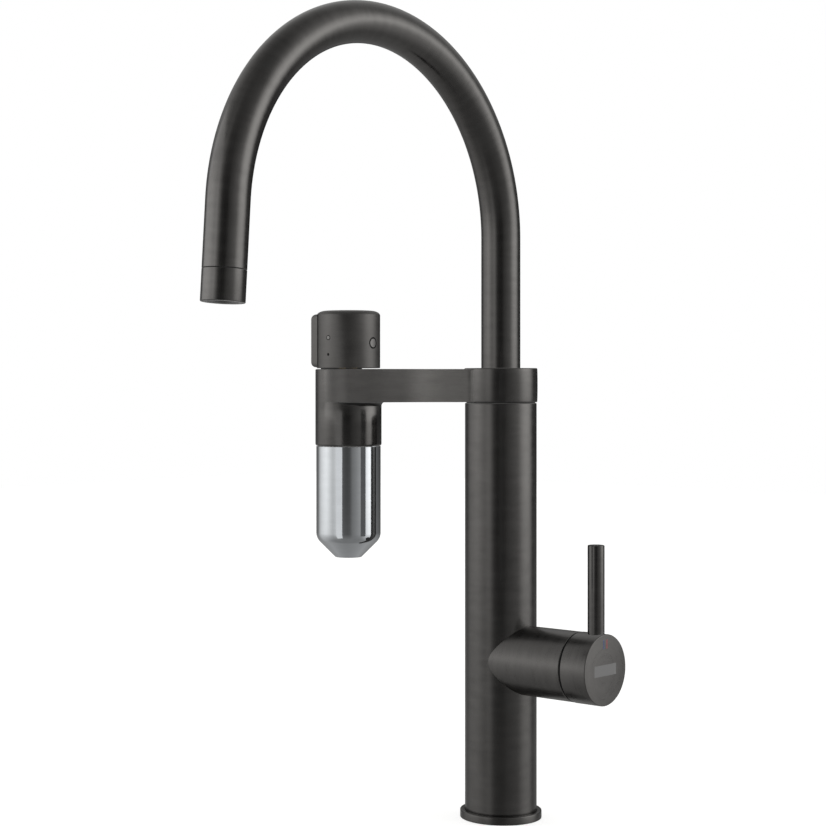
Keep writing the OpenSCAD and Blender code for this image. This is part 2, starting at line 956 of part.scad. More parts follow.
tail_seal_rise = 6;
tail_seal_step = 10;
tail_lift = 0.3;
tail_seal_heights = [for (i = [0 : 1]) tail_z + tail_seal_rise + i * tail_seal_step];

module spout_tail() {
    color("#b5933f")
        difference() {
            union() {
                rod(spout_r, tail_z + tail_lift, tube_z);
                rod(tail_flange_r, tail_flange_z, tube_z);
                rod(tail_spigot_r, tube_z, tube_z + tail_spigot_len);
            }
            rod(tail_bore_r, tail_z, tube_z + tail_spigot_len + cut);
            for (z = tail_seal_heights)
                tube(spout_r + cut, spout_r - ring_d, z - ring_r - slack, z + ring_r + slack);
        }
}

module tail_seals() {
    color("#18181a")
        for (z = tail_seal_heights)
            o_ring(spout_r - ring_r, ring_r - fit_gap, z);
}

inner_tube_z0 = tail_z + spigot_core_h + tail_lift;

module filtered_water_tube() {
    color("#eceae2")
        spout_path(inner_tube_r, inner_tube_bore_r, inner_tube_z0, end_straight + insert_z);
}

nozzle_recess = 1.6;
nozzle_shoulder = 1.6;
nozzle_edge_r = 0.4;
insert_z = 2.5;

module nozzle_collar() {
    color("#2b2a29")
        at_bend_end()
            translate([0, 0, end_straight])
                rotate_extrude()
                    difference() {
                        translate([0, -nozzle_spigot_len])
                            square([spout_r, nozzle_spigot_len + nozzle_groove + nozzle_len]);
                        translate([nozzle_spigot_r, -nozzle_spigot_len - cut])
                            square([spout_r, nozzle_spigot_len + nozzle_groove + cut]);
                        translate([0, -nozzle_spigot_len - cut])
                            square([
                                nozzle_spigot_r - nozzle_shoulder,
                                nozzle_spigot_len + cut + insert_z + slack
                            ]);
                        translate([0, insert_z])
                            square([nozzle_spigot_r, nozzle_len]);
                        corner_cut(spout_r, nozzle_groove + nozzle_len, nozzle_edge_r);
                    }
}

insert_r = nozzle_spigot_r - fit_gap;
jet_r = 0.55;
jet_len = 5;
jet_ring_step = 1.8;
jet_ring_in_r = inner_tube_r + 1.6;
jet_rings = 3;
chamber_wall = 1.2;
chamber_hub = 0.6;

module aerator_insert() {
    color("#3a3a3c")
        at_bend_end()
            translate([0, 0, end_straight])
                difference() {
                    rod(insert_r, insert_z, nozzle_groove + nozzle_len - nozzle_recess);
                    // Filtered water runs straight through the middle
                    rod(inner_tube_bore_r, insert_z - cut, nozzle_groove + nozzle_len);
                    // Mixed water enters a ring chamber and leaves by jets
                    tube(
                        insert_r - chamber_wall,
                        inner_tube_r + chamber_hub,
                        insert_z - cut,
                        nozzle_len - jet_len
                    );
                    for (row = [0 : jet_rings - 1])
                        for (jet = [0 : 5 + 6 * row])
                            rotate([0, 0, jet * 360 / (6 + 6 * row)])
                                translate([jet_ring_in_r + row * jet_ring_step, 0, 0])
                                    rod(jet_r, nozzle_len - jet_len - cut, nozzle_groove + nozzle_len);
                }
}

// Filter arm

// Plan of the arm's bar: an even neck at the collar, which widens smoothly to the holder's width
flare_from = 0.45 * arm_reach;
flare_to = 0.9 * arm_reach;
flank_steps = 24;
flank_inset = 0.02;
bar_r1 = holder_r - flank_inset;

// Points of one flank from the collar to the holder
function flank() = concat(
    [[0, waist]],
    [
        for (i = [0 : flank_steps])
            let (t = i / flank_steps)
                [
                    flare_from + (flare_to - flare_from) * t,
                    waist + (bar_r1 - waist) * (1 - cos(180 * t)) / 2
                ]
    ],
    [[arm_reach, bar_r1]]
);

module bar_plan() {
    near = flank();
    far = [for (i = [len(near) - 1 : -1 : 0]) [near[i][0], -near[i][1]]];
    polygon(concat(near, far));
    translate([arm_reach, 0])
        circle(bar_r1);
}

// Outline of the collar's side: slightly crowned
function collar_side(steps = 6) = [
    for (i = [0 : steps])
        let (t = 2 * i / steps - 1)
            [collar_r - collar_crown * t * t, collar_z + collar_h * i / steps]
];

module collar_solid() {
    rotate_extrude()
        difference() {
            polygon(concat([[0, collar_z]], collar_side(), [[0, collar_top]]));
            corner_cut(collar_r - collar_crown, collar_top, arm_edge_r);
            corner_cut(collar_r - collar_crown, collar_z, arm_edge_r, 1, -1);
        }
}

module holder_solid() {
    rotate_extrude()
        difference() {
            translate([0, holder_z])
                square([holder_r, bar_top - holder_z]);
            corner_cut(holder_r, bar_top, arm_edge_r);
            corner_cut(holder_r, holder_z, holder_edge_r, 1, -1);
        }
}

// Fillet under the bar around the holder, kept inside the bar's plan
module holder_fillet() {
    intersection() {
        translate([arm_reach, 0, 0])
            rotate_extrude()
                translate([holder_r, bar_z - holder_fillet_r])
                    difference() {
                        translate([-play, 0])
                            square([holder_fillet_r + play, holder_fillet_r]);
                        translate([holder_fillet_r, 0])
                            circle(holder_fillet_r);
                    }
        translate([0, 0, holder_z])
            linear_extrude(bar_h)
                bar_plan();
    }
}

return_inset = 1.6;
return_u = arm_reach - cavity_r + channel_r + return_inset;
outlet_r = 2.4;

module filter_arm() {
    color("#3a3938")
        rotate([0, 0, arm_angle])
            difference() {
                union() {
                    collar_solid();
                    translate([0, 0, bar_z])
                        linear_extrude(bar_h - arm_edge_r)
                            bar_plan();
                    translate([0, 0, bar_top - arm_edge_r])
                        linear_extrude(arm_edge_r)
                            difference() {
                                bar_plan();
                                translate([arm_reach, -holder_d])
                                    square([holder_d, 2 * holder_d]);
                            }
                    translate([arm_reach, 0, 0])
                        holder_solid();
                    holder_fillet();
                }
                // Bore that turns on the neck, and the seat of the retaining ring
                rod(arm_bore_r, collar_z - cut, collar_top + cut);
                rod(cap_ring_r + ring_play, ledge_z, collar_top + cut);
                // Feed channel to the filter valve
                translate([0, -channel_side, feed_groove_z])
                    rotate([0, 90, 0])
                        cylinder(r = channel_r, h = arm_reach);
                // Return channel from the capsule's cavity
                translate([0, channel_side, return_groove_z])
                    rotate([0, 90, 0])
                        cylinder(r = channel_r, h = return_u);
                translate([return_u, channel_side, 0])
                    rod(channel_r, cavity_top - cut, return_groove_z);
                // Seat of the valve headwork, its outlet and the capsule's cavity
                translate([arm_reach, 0, 0]) {
                    rod(headwork_r + fit_gap, headwork_z, bar_top + cut);
                    rod(outlet_r, cavity_top - cut, headwork_z + cut);
                    rod(cavity_r, holder_z - cut, cavity_top);
                }
            }
}

// Filter valve and knob

window_r = 1.4;
window_rise = 1.6;
headwork_lift = 4;
headwork_neck_wall = 2.6;

module valve_headwork() {
    color("#b5933f")
        at_holder()
            difference() {
                union() {
                    rod(headwork_r - headwork_skirt, headwork_z, headwork_neck_z);
                    rod(headwork_r, headwork_neck_z, bar_top - play);
                    rod(spindle_r + headwork_neck_wall, bar_top - cut, knob_z + headwork_lift);
                }
                rod(disc_r + fit_gap, valve_disc_z, headwork_neck_z);
                rod(outlet_r, headwork_z - cut, valve_disc_z + cut);
                rod(spindle_r + run_gap, headwork_neck_z - cut, knob_top);
                for (turn = [45 : 90 : 315])
                    rotate([0, 0, turn])
                        translate([0, 0, spindle_flange_z + window_rise])
                            rotate([0, 90, 0])
                                cylinder(r = window_r, h = headwork_r);
            }
}

// Quarter ports of the filter valve's discs
module quarter_ports(r, z0, z1) {
    for (turn = [0, 180])
        rotate([0, 0, turn])
            translate([disc_r / 2, 0, 0])
                rod(r, z0, z1);
}

quarter_port_r = 1.8;

module valve_fixed_disc() {
    color("#f2f0ea")
        at_holder()
            difference() {
                rod(disc_r, valve_disc_z, valve_disc_z + valve_disc_t);
                quarter_ports(quarter_port_r, valve_disc_z - cut, valve_disc_z + valve_disc_t + cut);
            }
}

module valve_moving_disc() {
    color("#dcdcd8")
        at_holder()
            difference() {
                rod(disc_r - play, valve_moving_z, spindle_flange_z);
                rotate([0, 0, 90])
                    quarter_ports(quarter_port_r, valve_moving_z - cut, spindle_flange_z + cut);
            }
}

spindle_flange_t = 1.2;

module valve_spindle() {
    color("#b5933f")
        at_holder()
            difference() {
                union() {
                    rod(disc_r - play, spindle_flange_z, spindle_flange_z + spindle_flange_t);
                    rod(spindle_r, spindle_flange_z, spindle_top);
                }
                rotate([0, 0, 90])
                    quarter_ports(
                        quarter_port_r,
                        spindle_flange_z - cut,
                        spindle_flange_z + spindle_flange_t + cut
                    );
            }
}

// Mark let into the knob's side: a pin pointing along a direction at a height
module side_pin(turn, z, r, proud) {
    intersection() {
        rotate([0, 0, turn - arm_angle])
            translate([knob_r / 2, 0, z])
                rotate([0, 90, 0])
                    cylinder(r = r, h = knob_r);
        tube(knob_r + proud, knob_r - mark_sunk, knob_z, knob_top);
    }
}

front_turn = 270;
side_turn = 360;
side_dot_turn = 352;
lens_d = ring_mark_d - 2 * ring_line;

module knob_marks(proud) {
    side_pin(side_turn, ring_z, ring_mark_d / 2, proud);
    side_pin(front_turn, small_ring_z, small_ring_d / 2, proud);
    side_pin(front_turn, dot_z, dot_d / 2, proud);
    side_pin(side_dot_turn, side_dot_z, dot_d / 2, proud);
}

knob_screw_r = 1.5;
knob_screw_len = 9;
knob_screw_hex = 1.6;
knob_bottom_r = 0.4;
web_w = 8;
web_h = 6.4;
web_z = knob_z + knob_boss_lift;
knob_screw_z = web_z + web_h / 2;

module filter_knob() {
    color("#353433")
        at_holder()
            difference() {
                union() {
                    rotate_extrude()
                        difference() {
                            translate([0, knob_z])
                                square([knob_r, knob_h]);
                            translate([0, knob_z - cut])
                                square([knob_r - knob_wall, knob_h - knob_wall + cut]);
                            corner_cut(knob_r, knob_top, knob_edge_r);
                            corner_cut(knob_r, knob_z, knob_bottom_r, 1, -1);
                        }
                    rod(knob_boss_r, web_z, knob_top - knob_wall);
                    // Web that carries the grub screw to the boss
                    translate([-knob_r + knob_wall / 2, -web_w / 2, web_z])
                        cube([knob_r - knob_wall / 2, web_w, web_h]);
                }
                rod(spindle_r + fit_gap, knob_z, spindle_top + play);
                knob_marks(cut);
                translate([-knob_r - cut, 0, knob_screw_z])
                    rotate([0, 90, 0])
                        cylinder(r = knob_screw_r + fit_gap, h = knob_r + cut);
            }
}

module knob_screw() {
    color("#8f9194")
        at_holder()
            translate([-spindle_r - knob_screw_len, 0, knob_screw_z])
                rotate([0, 90, 0])
                    difference() {
                        cylinder(r = knob_screw_r, h = knob_screw_len);
                        translate([0, 0, -cut])
                            cylinder(d = knob_screw_hex, h = cut + knob_screw_hex, $fn = 6);
                    }
}

grip_low = 0.6;
grip_high = 3.2;
grip_z0 = knob_z + grip_low;
grip_z1 = knob_top - grip_high;

module knob_grip() {
    grip_r = knob_r + grip_out;
    color("#353433")
        at_holder()
            difference() {
                intersection() {
                    // Plan: a wedge that narrows outwards
                    translate([0, 0, grip_z0])
                        linear_extrude(grip_z1 - grip_z0)
                            polygon([
                                [0, -grip_w / 2],
                                [knob_r, -grip_w / 2],
                                [grip_r, -grip_tip_w / 2],
                                [grip_r, grip_tip_w / 2],
                                [knob_r, grip_w / 2],
                                [0, grip_w / 2]
                            ]);
                    // Side view: rounded upper and lower corners
                    translate([0, grip_w, 0])
                        rotate([90, 0, 0])
                            linear_extrude(2 * grip_w)
                                difference() {
                                    translate([0, grip_z0])
                                        square([grip_r, grip_z1 - grip_z0]);
                                    corner_cut(grip_r, grip_z0, grip_edge_r, 1, -1);
                                    corner_cut(grip_r, grip_z1, grip_edge_r, 1, 1);
                                }
                }
                rod(knob_r + fit_gap, knob_z, knob_top);
            }
}

module knob_ring_marks() {
    color("#141414")
        at_holder() {
            difference() {
                side_pin(side_turn, ring_z, ring_mark_d / 2, mark_proud);
                side_pin(side_turn, ring_z, lens_d / 2, cut);
            }
            difference() {
                side_pin(front_turn, small_ring_z, small_ring_d / 2, mark_proud);
                side_pin(front_turn, small_ring_z, small_ring_d / 2 - ring_line / 2, cut);
            }
        }
}

module knob_dot_marks() {
    color("#141414")
        at_holder() {
            side_pin(front_turn, dot_z, dot_d / 2, mark_proud);
            side_pin(side_dot_turn, side_dot_z, dot_d / 2, mark_proud);
        }
}

module knob_lens() {
    color("#4a4a4a")
        at_holder() {
            side_pin(side_turn, ring_z, lens_d / 2 - fit_gap, 0);
            side_pin(front_turn, small_ring_z, small_ring_d / 2 - ring_line / 2 - fit_gap, 0);
        }
}

// Capsule and filter

skirt_in_r = neck_out_r + filter_gap;
socket_lift = 1.6;

module capsule_socket() {
    color("#4b4b4d")
        at_holder()
            difference() {
                rod(cavity_r - fit_gap, holder_z + socket_lift, cavity_top);
                // Room for the capsule's neck and the filter's lid
                rod(skirt_in_r, holder_z, cavity_top - socket_t);
                rod(outlet_r, cavity_top - socket_t - cut, cavity_top + cut);
                translate([return_u - arm_reach, channel_side, 0])
                    rod(channel_r, cavity_top - socket_t - cut, cavity_top + cut);
            }
    color("#4b4b4d")
        at_holder()
            tube(
                spigot_r + slack + socket_wall,
                spigot_r + slack,
                filter_top + 2 * play,
                cavity_top - socket_t
            );
}

// Half profile of the capsule's outside, shifted inwards by a wall
module capsule_profile(inset) {
    r = capsule_r - inset;
    bottom = capsule_z + inset;
    flat = capsule_flat_r - inset * (sqrt(2) - 1);
    bend = capsule_bend_r - inset;
    cone_top = bottom + (r - flat);
    tangent = bend * tan(22.5);
    difference() {
        polygon([
            [0, bottom],
            [flat, bottom],
            [r, cone_top],
            [r, capsule_top - inset],
            [0, capsule_top - inset]
        ]);
        // Rounds the corner between the side and the cone
        difference() {
            polygon([
                [r + cut, cone_top + tangent],
                [r - bend, cone_top + tangent],
                [r - tangent * sin(45) + cut, cone_top - tangent * sin(45) - cut],
                [r + cut, cone_top - tangent * sin(45) - cut]
            ]);
            translate([r - bend, cone_top + tangent])
                circle(bend);
        }
    }
}

module capsule_shell() {
    color("#c3c8cb")
        at_holder()
            rotate_extrude()
                difference() {
                    union() {
                        capsule_profile(0);
                        translate([0, capsule_top - cut])
                            square([neck_out_r, capsule_neck_h + cut]);
                    }
                    capsule_profile(capsule_wall);
                    translate([-cut, capsule_top - 2 * capsule_wall])
                        square([neck_in_r + cut, capsule_neck_h + 3 * capsule_wall]);
                }
}

module capsule_seal() {
    color("#18181a")
        at_holder()
            tube(neck_out_r + play, neck_in_r, neck_top_z, neck_top_z + seal_h);
}

bottom_chamfer = 1.2;
case_t = 1.2;

module filter_cartridge() {
    color("#e9e9e4")
        at_holder()
            difference() {
                union() {
                    translate([0, 0, filter_z - bottom_chamfer])
                        cylinder(r1 = filter_r - bottom_chamfer, r2 = filter_r, h = bottom_chamfer);
                    rod(filter_r, filter_z, filter_top - lid_t);
                }
                rod(filter_r - case_t, filter_z + case_t, filter_top);
            }
}

lid_hole_r = 1.2;
spigot_ring_d = 1.4;
spigot_seal_rise = 3;
spigot_seal_step = 3.6;
spigot_seal_heights = [for (i = [0 : 1]) filter_top + spigot_seal_rise + i * spigot_seal_step];

module filter_lid() {
    color("#d4d8d9")
        at_holder()
            difference() {
                union() {
                    rod(filter_r, filter_top - lid_t, filter_top);
                    rod(spigot_r, filter_top, filter_top + spigot_len);
                }
                rod(spigot_bore_r, filter_top - lid_t - cut, filter_top + spigot_len + cut);
                for (turn = [30 : 60 : 330])
                    rotate([0, 0, turn])
                        translate([(spigot_r + filter_r) / 2, 0, 0])
                            rod(lid_hole_r, filter_top - lid_t - cut, filter_top + cut);
                for (z = spigot_seal_heights)
                    tube(spigot_r + cut, spigot_r - spigot_ring_d, z - spigot_ring_d / 2 - slack / 2,
                        z + spigot_ring_d / 2 + slack / 2);
            }
}

module spigot_seals() {
    color("#18181a")
        at_holder()
            for (z = spigot_seal_heights)
                o_ring(spigot_r - spigot_ring_d / 2, spigot_ring_d / 2 - fit_gap, z);
}

module filter_media() {
    color("#3c3a38")
        at_holder()
            tube(filter_r - case_t - fit_gap, spigot_bore_r, filter_z + case_t, filter_top - lid_t);
}

base_ring();
base_gasket();
foot_plug();
body_column();
hot_tube();
cold_tube();
mixed_tube();
filter_feed_tube();
valve_housing();
mixing_manifold();
cartridge_case();
port_seals();
fixed_disc();
moving_disc();
disc_carrier();
cartridge_turret();
pivot_pin();
cartridge_stem();
cartridge_nut();
handle_cap();
handle_lever();
handle_grub_screw();
cold_mark();
hot_mark();
face_plate();
swivel_core();
neck_seals();
slip_washer();
retaining_ring();
spout_tail();
tail_seals();
spout_tube();
filtered_water_tube();
nozzle_collar();
aerator_insert();
filter_arm();
valve_headwork();
valve_fixed_disc();
valve_moving_disc();
valve_spindle();
filter_knob();
knob_grip();
knob_screw();
knob_ring_marks();
knob_dot_marks();
knob_lens();
capsule_socket();
capsule_shell();
capsule_seal();
filter_cartridge();
filter_lid();
filter_media();
spigot_seals();
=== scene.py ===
"""Looks of the filter kitchen mixer tap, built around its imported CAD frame."""

import json
import math

import bmesh
import bpy
from mathutils import Matrix, Vector

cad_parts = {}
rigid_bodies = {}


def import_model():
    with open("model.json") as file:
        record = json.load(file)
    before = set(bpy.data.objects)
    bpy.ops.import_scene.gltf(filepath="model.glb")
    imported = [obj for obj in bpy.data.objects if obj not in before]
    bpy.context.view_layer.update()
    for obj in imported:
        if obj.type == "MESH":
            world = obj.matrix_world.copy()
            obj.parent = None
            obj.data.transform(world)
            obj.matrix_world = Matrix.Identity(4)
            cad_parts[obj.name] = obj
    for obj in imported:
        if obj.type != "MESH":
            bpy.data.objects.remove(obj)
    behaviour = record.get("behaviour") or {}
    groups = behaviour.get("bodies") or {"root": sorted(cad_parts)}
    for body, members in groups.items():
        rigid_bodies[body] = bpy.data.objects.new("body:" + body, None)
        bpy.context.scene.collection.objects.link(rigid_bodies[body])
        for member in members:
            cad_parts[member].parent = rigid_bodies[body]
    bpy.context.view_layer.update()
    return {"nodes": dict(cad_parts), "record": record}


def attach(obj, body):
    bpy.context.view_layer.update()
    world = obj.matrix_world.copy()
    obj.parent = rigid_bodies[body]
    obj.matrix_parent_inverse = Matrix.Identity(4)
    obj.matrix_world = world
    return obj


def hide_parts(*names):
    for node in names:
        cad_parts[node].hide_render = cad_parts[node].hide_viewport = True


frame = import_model()
NODES = frame["nodes"]
MM = 0.001
SHARP_ANGLE = math.radians(38)

# Sizes in millimetres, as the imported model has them

# Column and base ring
COLUMN_R = 22.0
COLUMN_BORE = 20.0
COLUMN_FOOT = 1.2
COLUMN_TOP = 254.6
BASE_R = 25.0
BASE_TOP = 4.9
# Valve housing, cap and lever, with places along the valve's axis measured from the column's axis
VALVE_Z = 98.0
HOUSING_R = 21.0
HOUSING_WALL = 1.9
HOUSING_END = 58.5
CARTRIDGE_SEAT = 44.0
CAP_R = 21.15
CAP_BORE = 20.0
CAP_BACK = 60.0
CAP_FLOOR = 65.8
CAP_FACE = 77.6
LEVER_R = 5.0
LEVER_AT = 71.0
LEVER_FOOT = 112.5
LEVER_TOP = 171.3
# Spout
SPOUT_R = 12.0
RISER_FOOT = 272.3
BEND_R = 116.5
BEND_Z = 355.6
BEND_TURN = math.radians(176)
END_LEN = 36.6
GROOVE = 0.4
NOZZLE_LEN = 17.2
# Arm: its collar on the column, its bar and its holder
ARM_TURN = math.radians(225)
ARM_REACH = 93.9
COLLAR_R = 22.6
COLLAR_FOOT = 255.0
COLLAR_TOP = 276.0
BAR_Z = 255.2
BAR_TOP = 275.4
BAR_IN = 21.0
WAIST = 12.0
CORNER = 5.0
OVERHANG = 1.5
FLARE_FROM = 0.45 * ARM_REACH
FLARE_TO = 0.9 * ARM_REACH
HOLDER_R = 20.3
HOLDER_FOOT = 228.4
SOCKET_R = 18.2
SOCKET_TOP = 250.4
# Knob and filter capsule
KNOB_R = 19.45
KNOB_Z = 275.9
KNOB_TOP = 311.1
CAPSULE_R = 19.75
CAPSULE_TOP = 228.1
CAPSULE_TIP = 160.2
CAPSULE_TIP_R = 8.0

# Camera, in metres
CAMERA_AT = (0.7144, -0.9199, 0.27043)
VIEW_TURN = math.radians(42.57)
LENS = 82.14
SENSOR = 36.0
SHIFT = (0.0828, -0.0434)


# Mesh building


def add_mesh(name, verts, faces, matrix=None, smooth=True, uvs=None, around=None):
    """A mesh object from points in millimetres.

    uvs gives each point's place along the grain and across it, in metres. Where the grain runs
    round the piece, around is the length after which it meets itself.
    """
    mesh = bpy.data.meshes.new(name)
    m = matrix or Matrix.Identity(4)
    mesh.from_pydata([m @ Vector(v) * MM for v in verts], [], faces)
    mesh.update()
    if uvs:
        layer = mesh.uv_layers.new(name="grain")
        for poly in mesh.polygons:
            us = [uvs[v][0] for v in poly.vertices]
            wraps = around and max(us) - min(us) > around / 2
            for loop, v in zip(poly.loop_indices, poly.vertices):
                u, w = uvs[v]
                if wraps and u < around / 2:
                    u += around
                layer.data[loop].uv = (u, w)
    ob = bpy.data.objects.new(name, mesh)
    bpy.context.scene.collection.objects.link(ob)
    bm = bmesh.new()
    bm.from_mesh(mesh)
    bmesh.ops.recalc_face_normals(bm, faces=bm.faces)
    bm.to_mesh(mesh)
    bm.free()
    if smooth:
        mesh.shade_smooth()
        mesh.set_sharp_from_angle(angle=SHARP_ANGLE)
    return ob


def grid_faces(rows, n, closed=True):
    """Quads between rows of n points each; closed joins the last point of a row to its first."""
    faces = []
    for j in range(rows - 1):
        for i in range(n if closed else n - 1):
            k = (i + 1) % n
            faces.append([j * n + i, j * n + k, (j + 1) * n + k, (j + 1) * n + i])
    return faces


def quarter(steps):
    """Angles from 0 to a right angle."""
    return [math.pi / 2 * k / steps for k in range(steps + 1)]


def lathe(name, profile, steps=160, matrix=None):
    """Turns a closed profile of (radius, height) points round Z."""
    n = len(profile)
    r_max = max(r for r, _ in profile)
    along = [0.0]
    for a, b in zip(profile, profile[1:]):
        along.append(along[-1] + math.dist(a, b) * MM)
    verts, uvs = [], []
    for i in range(steps):
        t = 2 * math.pi * i / steps
        verts += [(r * math.cos(t), r * math.sin(t), z) for r, z in profile]
        uvs += [(t * r_max * MM, w) for w in along]
    on_axis = [r < 1e-6 for r, _ in profile]
    faces = []
    for i in range(steps):
        k = (i + 1) % steps
        for j in range(n):
            m = (j + 1) % n
            if on_axis[j] and on_axis[m]:
                continue
            if on_axis[j]:
                faces.append([j, k * n + m, i * n + m])
            elif on_axis[m]:
                faces.append([i * n + j, k * n + j, m])
            else:
                faces.append([i * n + j, k * n + j, k * n + m, i * n + m])
    used = sorted({v for face in faces for v in face})
    index = {v: i for i, v in enumerate(used)}
    faces = [[index[v] for v in face] for face in faces]
    return add_mesh(name, [verts[v] for v in used], faces, matrix,
                    uvs=[uvs[v] for v in used], around=2 * math.pi * r_max * MM)


def rounded(points, radii, steps=6):
    """A closed outline of (r, z) points with each corner rounded by its radius."""
    out = []
    n = len(points)
    for i, (p, r) in enumerate(zip(points, radii)):
        if r <= 0:
            out.append(p)
            continue
        p, a, b = Vector(p), Vector(points[i - 1]), Vector(points[(i + 1) % n])
        u, w = (a - p).normalized(), (b - p).normalized()
        half = u.angle(w) / 2
        reach = r / math.tan(half)
        centre = p + (u + w).normalized() * (r / math.sin(half))
        s, e = p + u * reach - centre, p + w * reach - centre
        turn = s.angle(e)
        sign = 1 if s.x * e.y - s.y * e.x > 0 else -1
        for k in range(steps + 1):
            t = sign * turn * k / steps
            c, d = math.cos(t), math.sin(t)
            out.append(tuple(centre + Vector((s.x * c - s.y * d, s.x * d + s.y * c))))
    return out


def piece(ob, body, slot, mat, *nodes):
    """Puts a new piece on its body, with its material and the CAD nodes that it stands for; its slot is not used.
    """
    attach(ob, body)
    if nodes:
        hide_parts(*nodes)
    ob.data.materials.append(MATS[mat])
    return ob


# Places of the arm, of the holder's axis, and of the valve, whose axis runs along +X
ARM = Matrix.Rotation(ARM_TURN, 4, "Z")
HOLDER = Matrix.Rotation(ARM_TURN, 4, "Z") @ Matrix.Translation((ARM_REACH, 0, 0))
VALVE = Matrix.Translation((0, 0, VALVE_Z)) @ Matrix.Rotation(math.pi / 2, 4, "Y")


# Materials


def new_material(name):
    """A material with one Principled shader: (material, its tree, the shader)."""
    mat = bpy.data.materials.new(name)
    mat.use_nodes = True
    tree = mat.node_tree
    tree.nodes.clear()
    out = tree.nodes.new("ShaderNodeOutputMaterial")
    bsdf = tree.nodes.new("ShaderNodeBsdfPrincipled")
    tree.links.new(bsdf.outputs[0], out.inputs[0])
    return mat, tree, bsdf


def node(tree, kind, **settings):
    made = tree.nodes.new("ShaderNode" + kind)
    for key, value in settings.items():
        setattr(made, key, value)
    return made


def noise(tree, vector, scale, detail, rough):
    made = node(tree, "TexNoise")
    made.inputs["Scale"].default_value = scale
    made.inputs["Detail"].default_value = detail
    made.inputs["Roughness"].default_value = rough
    tree.links.new(vector, made.inputs["Vector"])
    return made.outputs[0]


def mapped(tree, source, scale):
    made = node(tree, "Mapping")
    made.inputs["Scale"].default_value = scale
    tree.links.new(source, made.inputs["Vector"])
    return made.outputs[0]


def remap(tree, value, low, high, from_low=0.3, from_high=0.7):
    """Goes from low to high as value goes from from_low to from_high."""
    made = node(tree, "MapRange")
    for key, v in (("From Min", from_low), ("From Max", from_high), ("To Min", low), ("To Max", high)):
        made.inputs[key].default_value = v
    tree.links.new(value, made.inputs["Value"])
    return made.outputs[0]


def math_node(tree, operation, *values):
    """The result of an operation on values, which are numbers or sockets."""
    made = node(tree, "Math", operation=operation)
    for i, v in enumerate(values):
        if isinstance(v, (int, float)):
            made.inputs[i].default_value = v
        else:
            tree.links.new(v, made.inputs[i])
    return made.outputs[0]


def tint(tree, value, low, high, from_low=0.3, from_high=0.7):
    """A colour between low and high, as value goes from from_low to from_high."""
    ramp = node(tree, "ValToRGB")
    ramp.color_ramp.elements[0].position = from_low
    ramp.color_ramp.elements[1].position = from_high
    ramp.color_ramp.elements[0].color = (*low, 1)
    ramp.color_ramp.elements[1].color = (*high, 1)
    tree.links.new(value, ramp.inputs[0])
    return ramp.outputs[0]


def bump(tree, bsdf, heights):
    """Adds up (value, depth in metres) pairs as bump."""
    normal = None
    for value, depth in heights:
        made = node(tree, "Bump")
        made.inputs["Distance"].default_value = depth
        tree.links.new(value, made.inputs["Height"])
        if normal:
            tree.links.new(normal, made.inputs["Normal"])
        normal = made.outputs[0]
    tree.links.new(normal, bsdf.inputs["Normal"])


def multiply_colour(tree, colour, share, low, high):
    """Multiplies a colour by a grey that goes from low to high."""
    made = node(tree, "VectorMath", operation="SCALE")
    tree.links.new(colour, made.inputs[0])
    tree.links.new(remap(tree, share, low, high, 0.0, 1.0), made.inputs["Scale"])
    return made.outputs[0]


def sum_of(tree, *parts):
    """Adds up (value, weight) pairs."""
    total = None
    for value, weight in parts:
        term = math_node(tree, "MULTIPLY", value, weight)
        total = term if total is None else math_node(tree, "ADD", total, term)
    return total


def shades(color, spread):
    """A darker and a lighter colour, spread on either side of one."""
    return tuple(c * (1 - spread) for c in color), tuple(min(1, c * (1 + spread)) for c in color)


# How often the grain repeats in a metre. A piece with grain coordinates has (streaks, fine grain,
# patches) of its own, and on other pieces the streaks run across an axis, or for "o" have no direction.
ROUND_GRAIN = ((60, 5200, 1), (900, 2600, 1), (70, 230, 1))
STREAKS = {"x": (5200, 60, 60), "z": (60, 60, 5200), "o": (2400, 2400, 2400)}
FINE_GRAIN = (1600, 1600, 1600)
PATCHES = (150, 150, 150)
# The part of the noise that the finish is spread over
BRUSHED_RANGE = (0.40, 0.60)
BLASTED_RANGE = (0.38, 0.62)
# How much the painted highlight lightens the blasted flank, at most
PAINTED_HIGHLIGHT_LIFT = 2.56


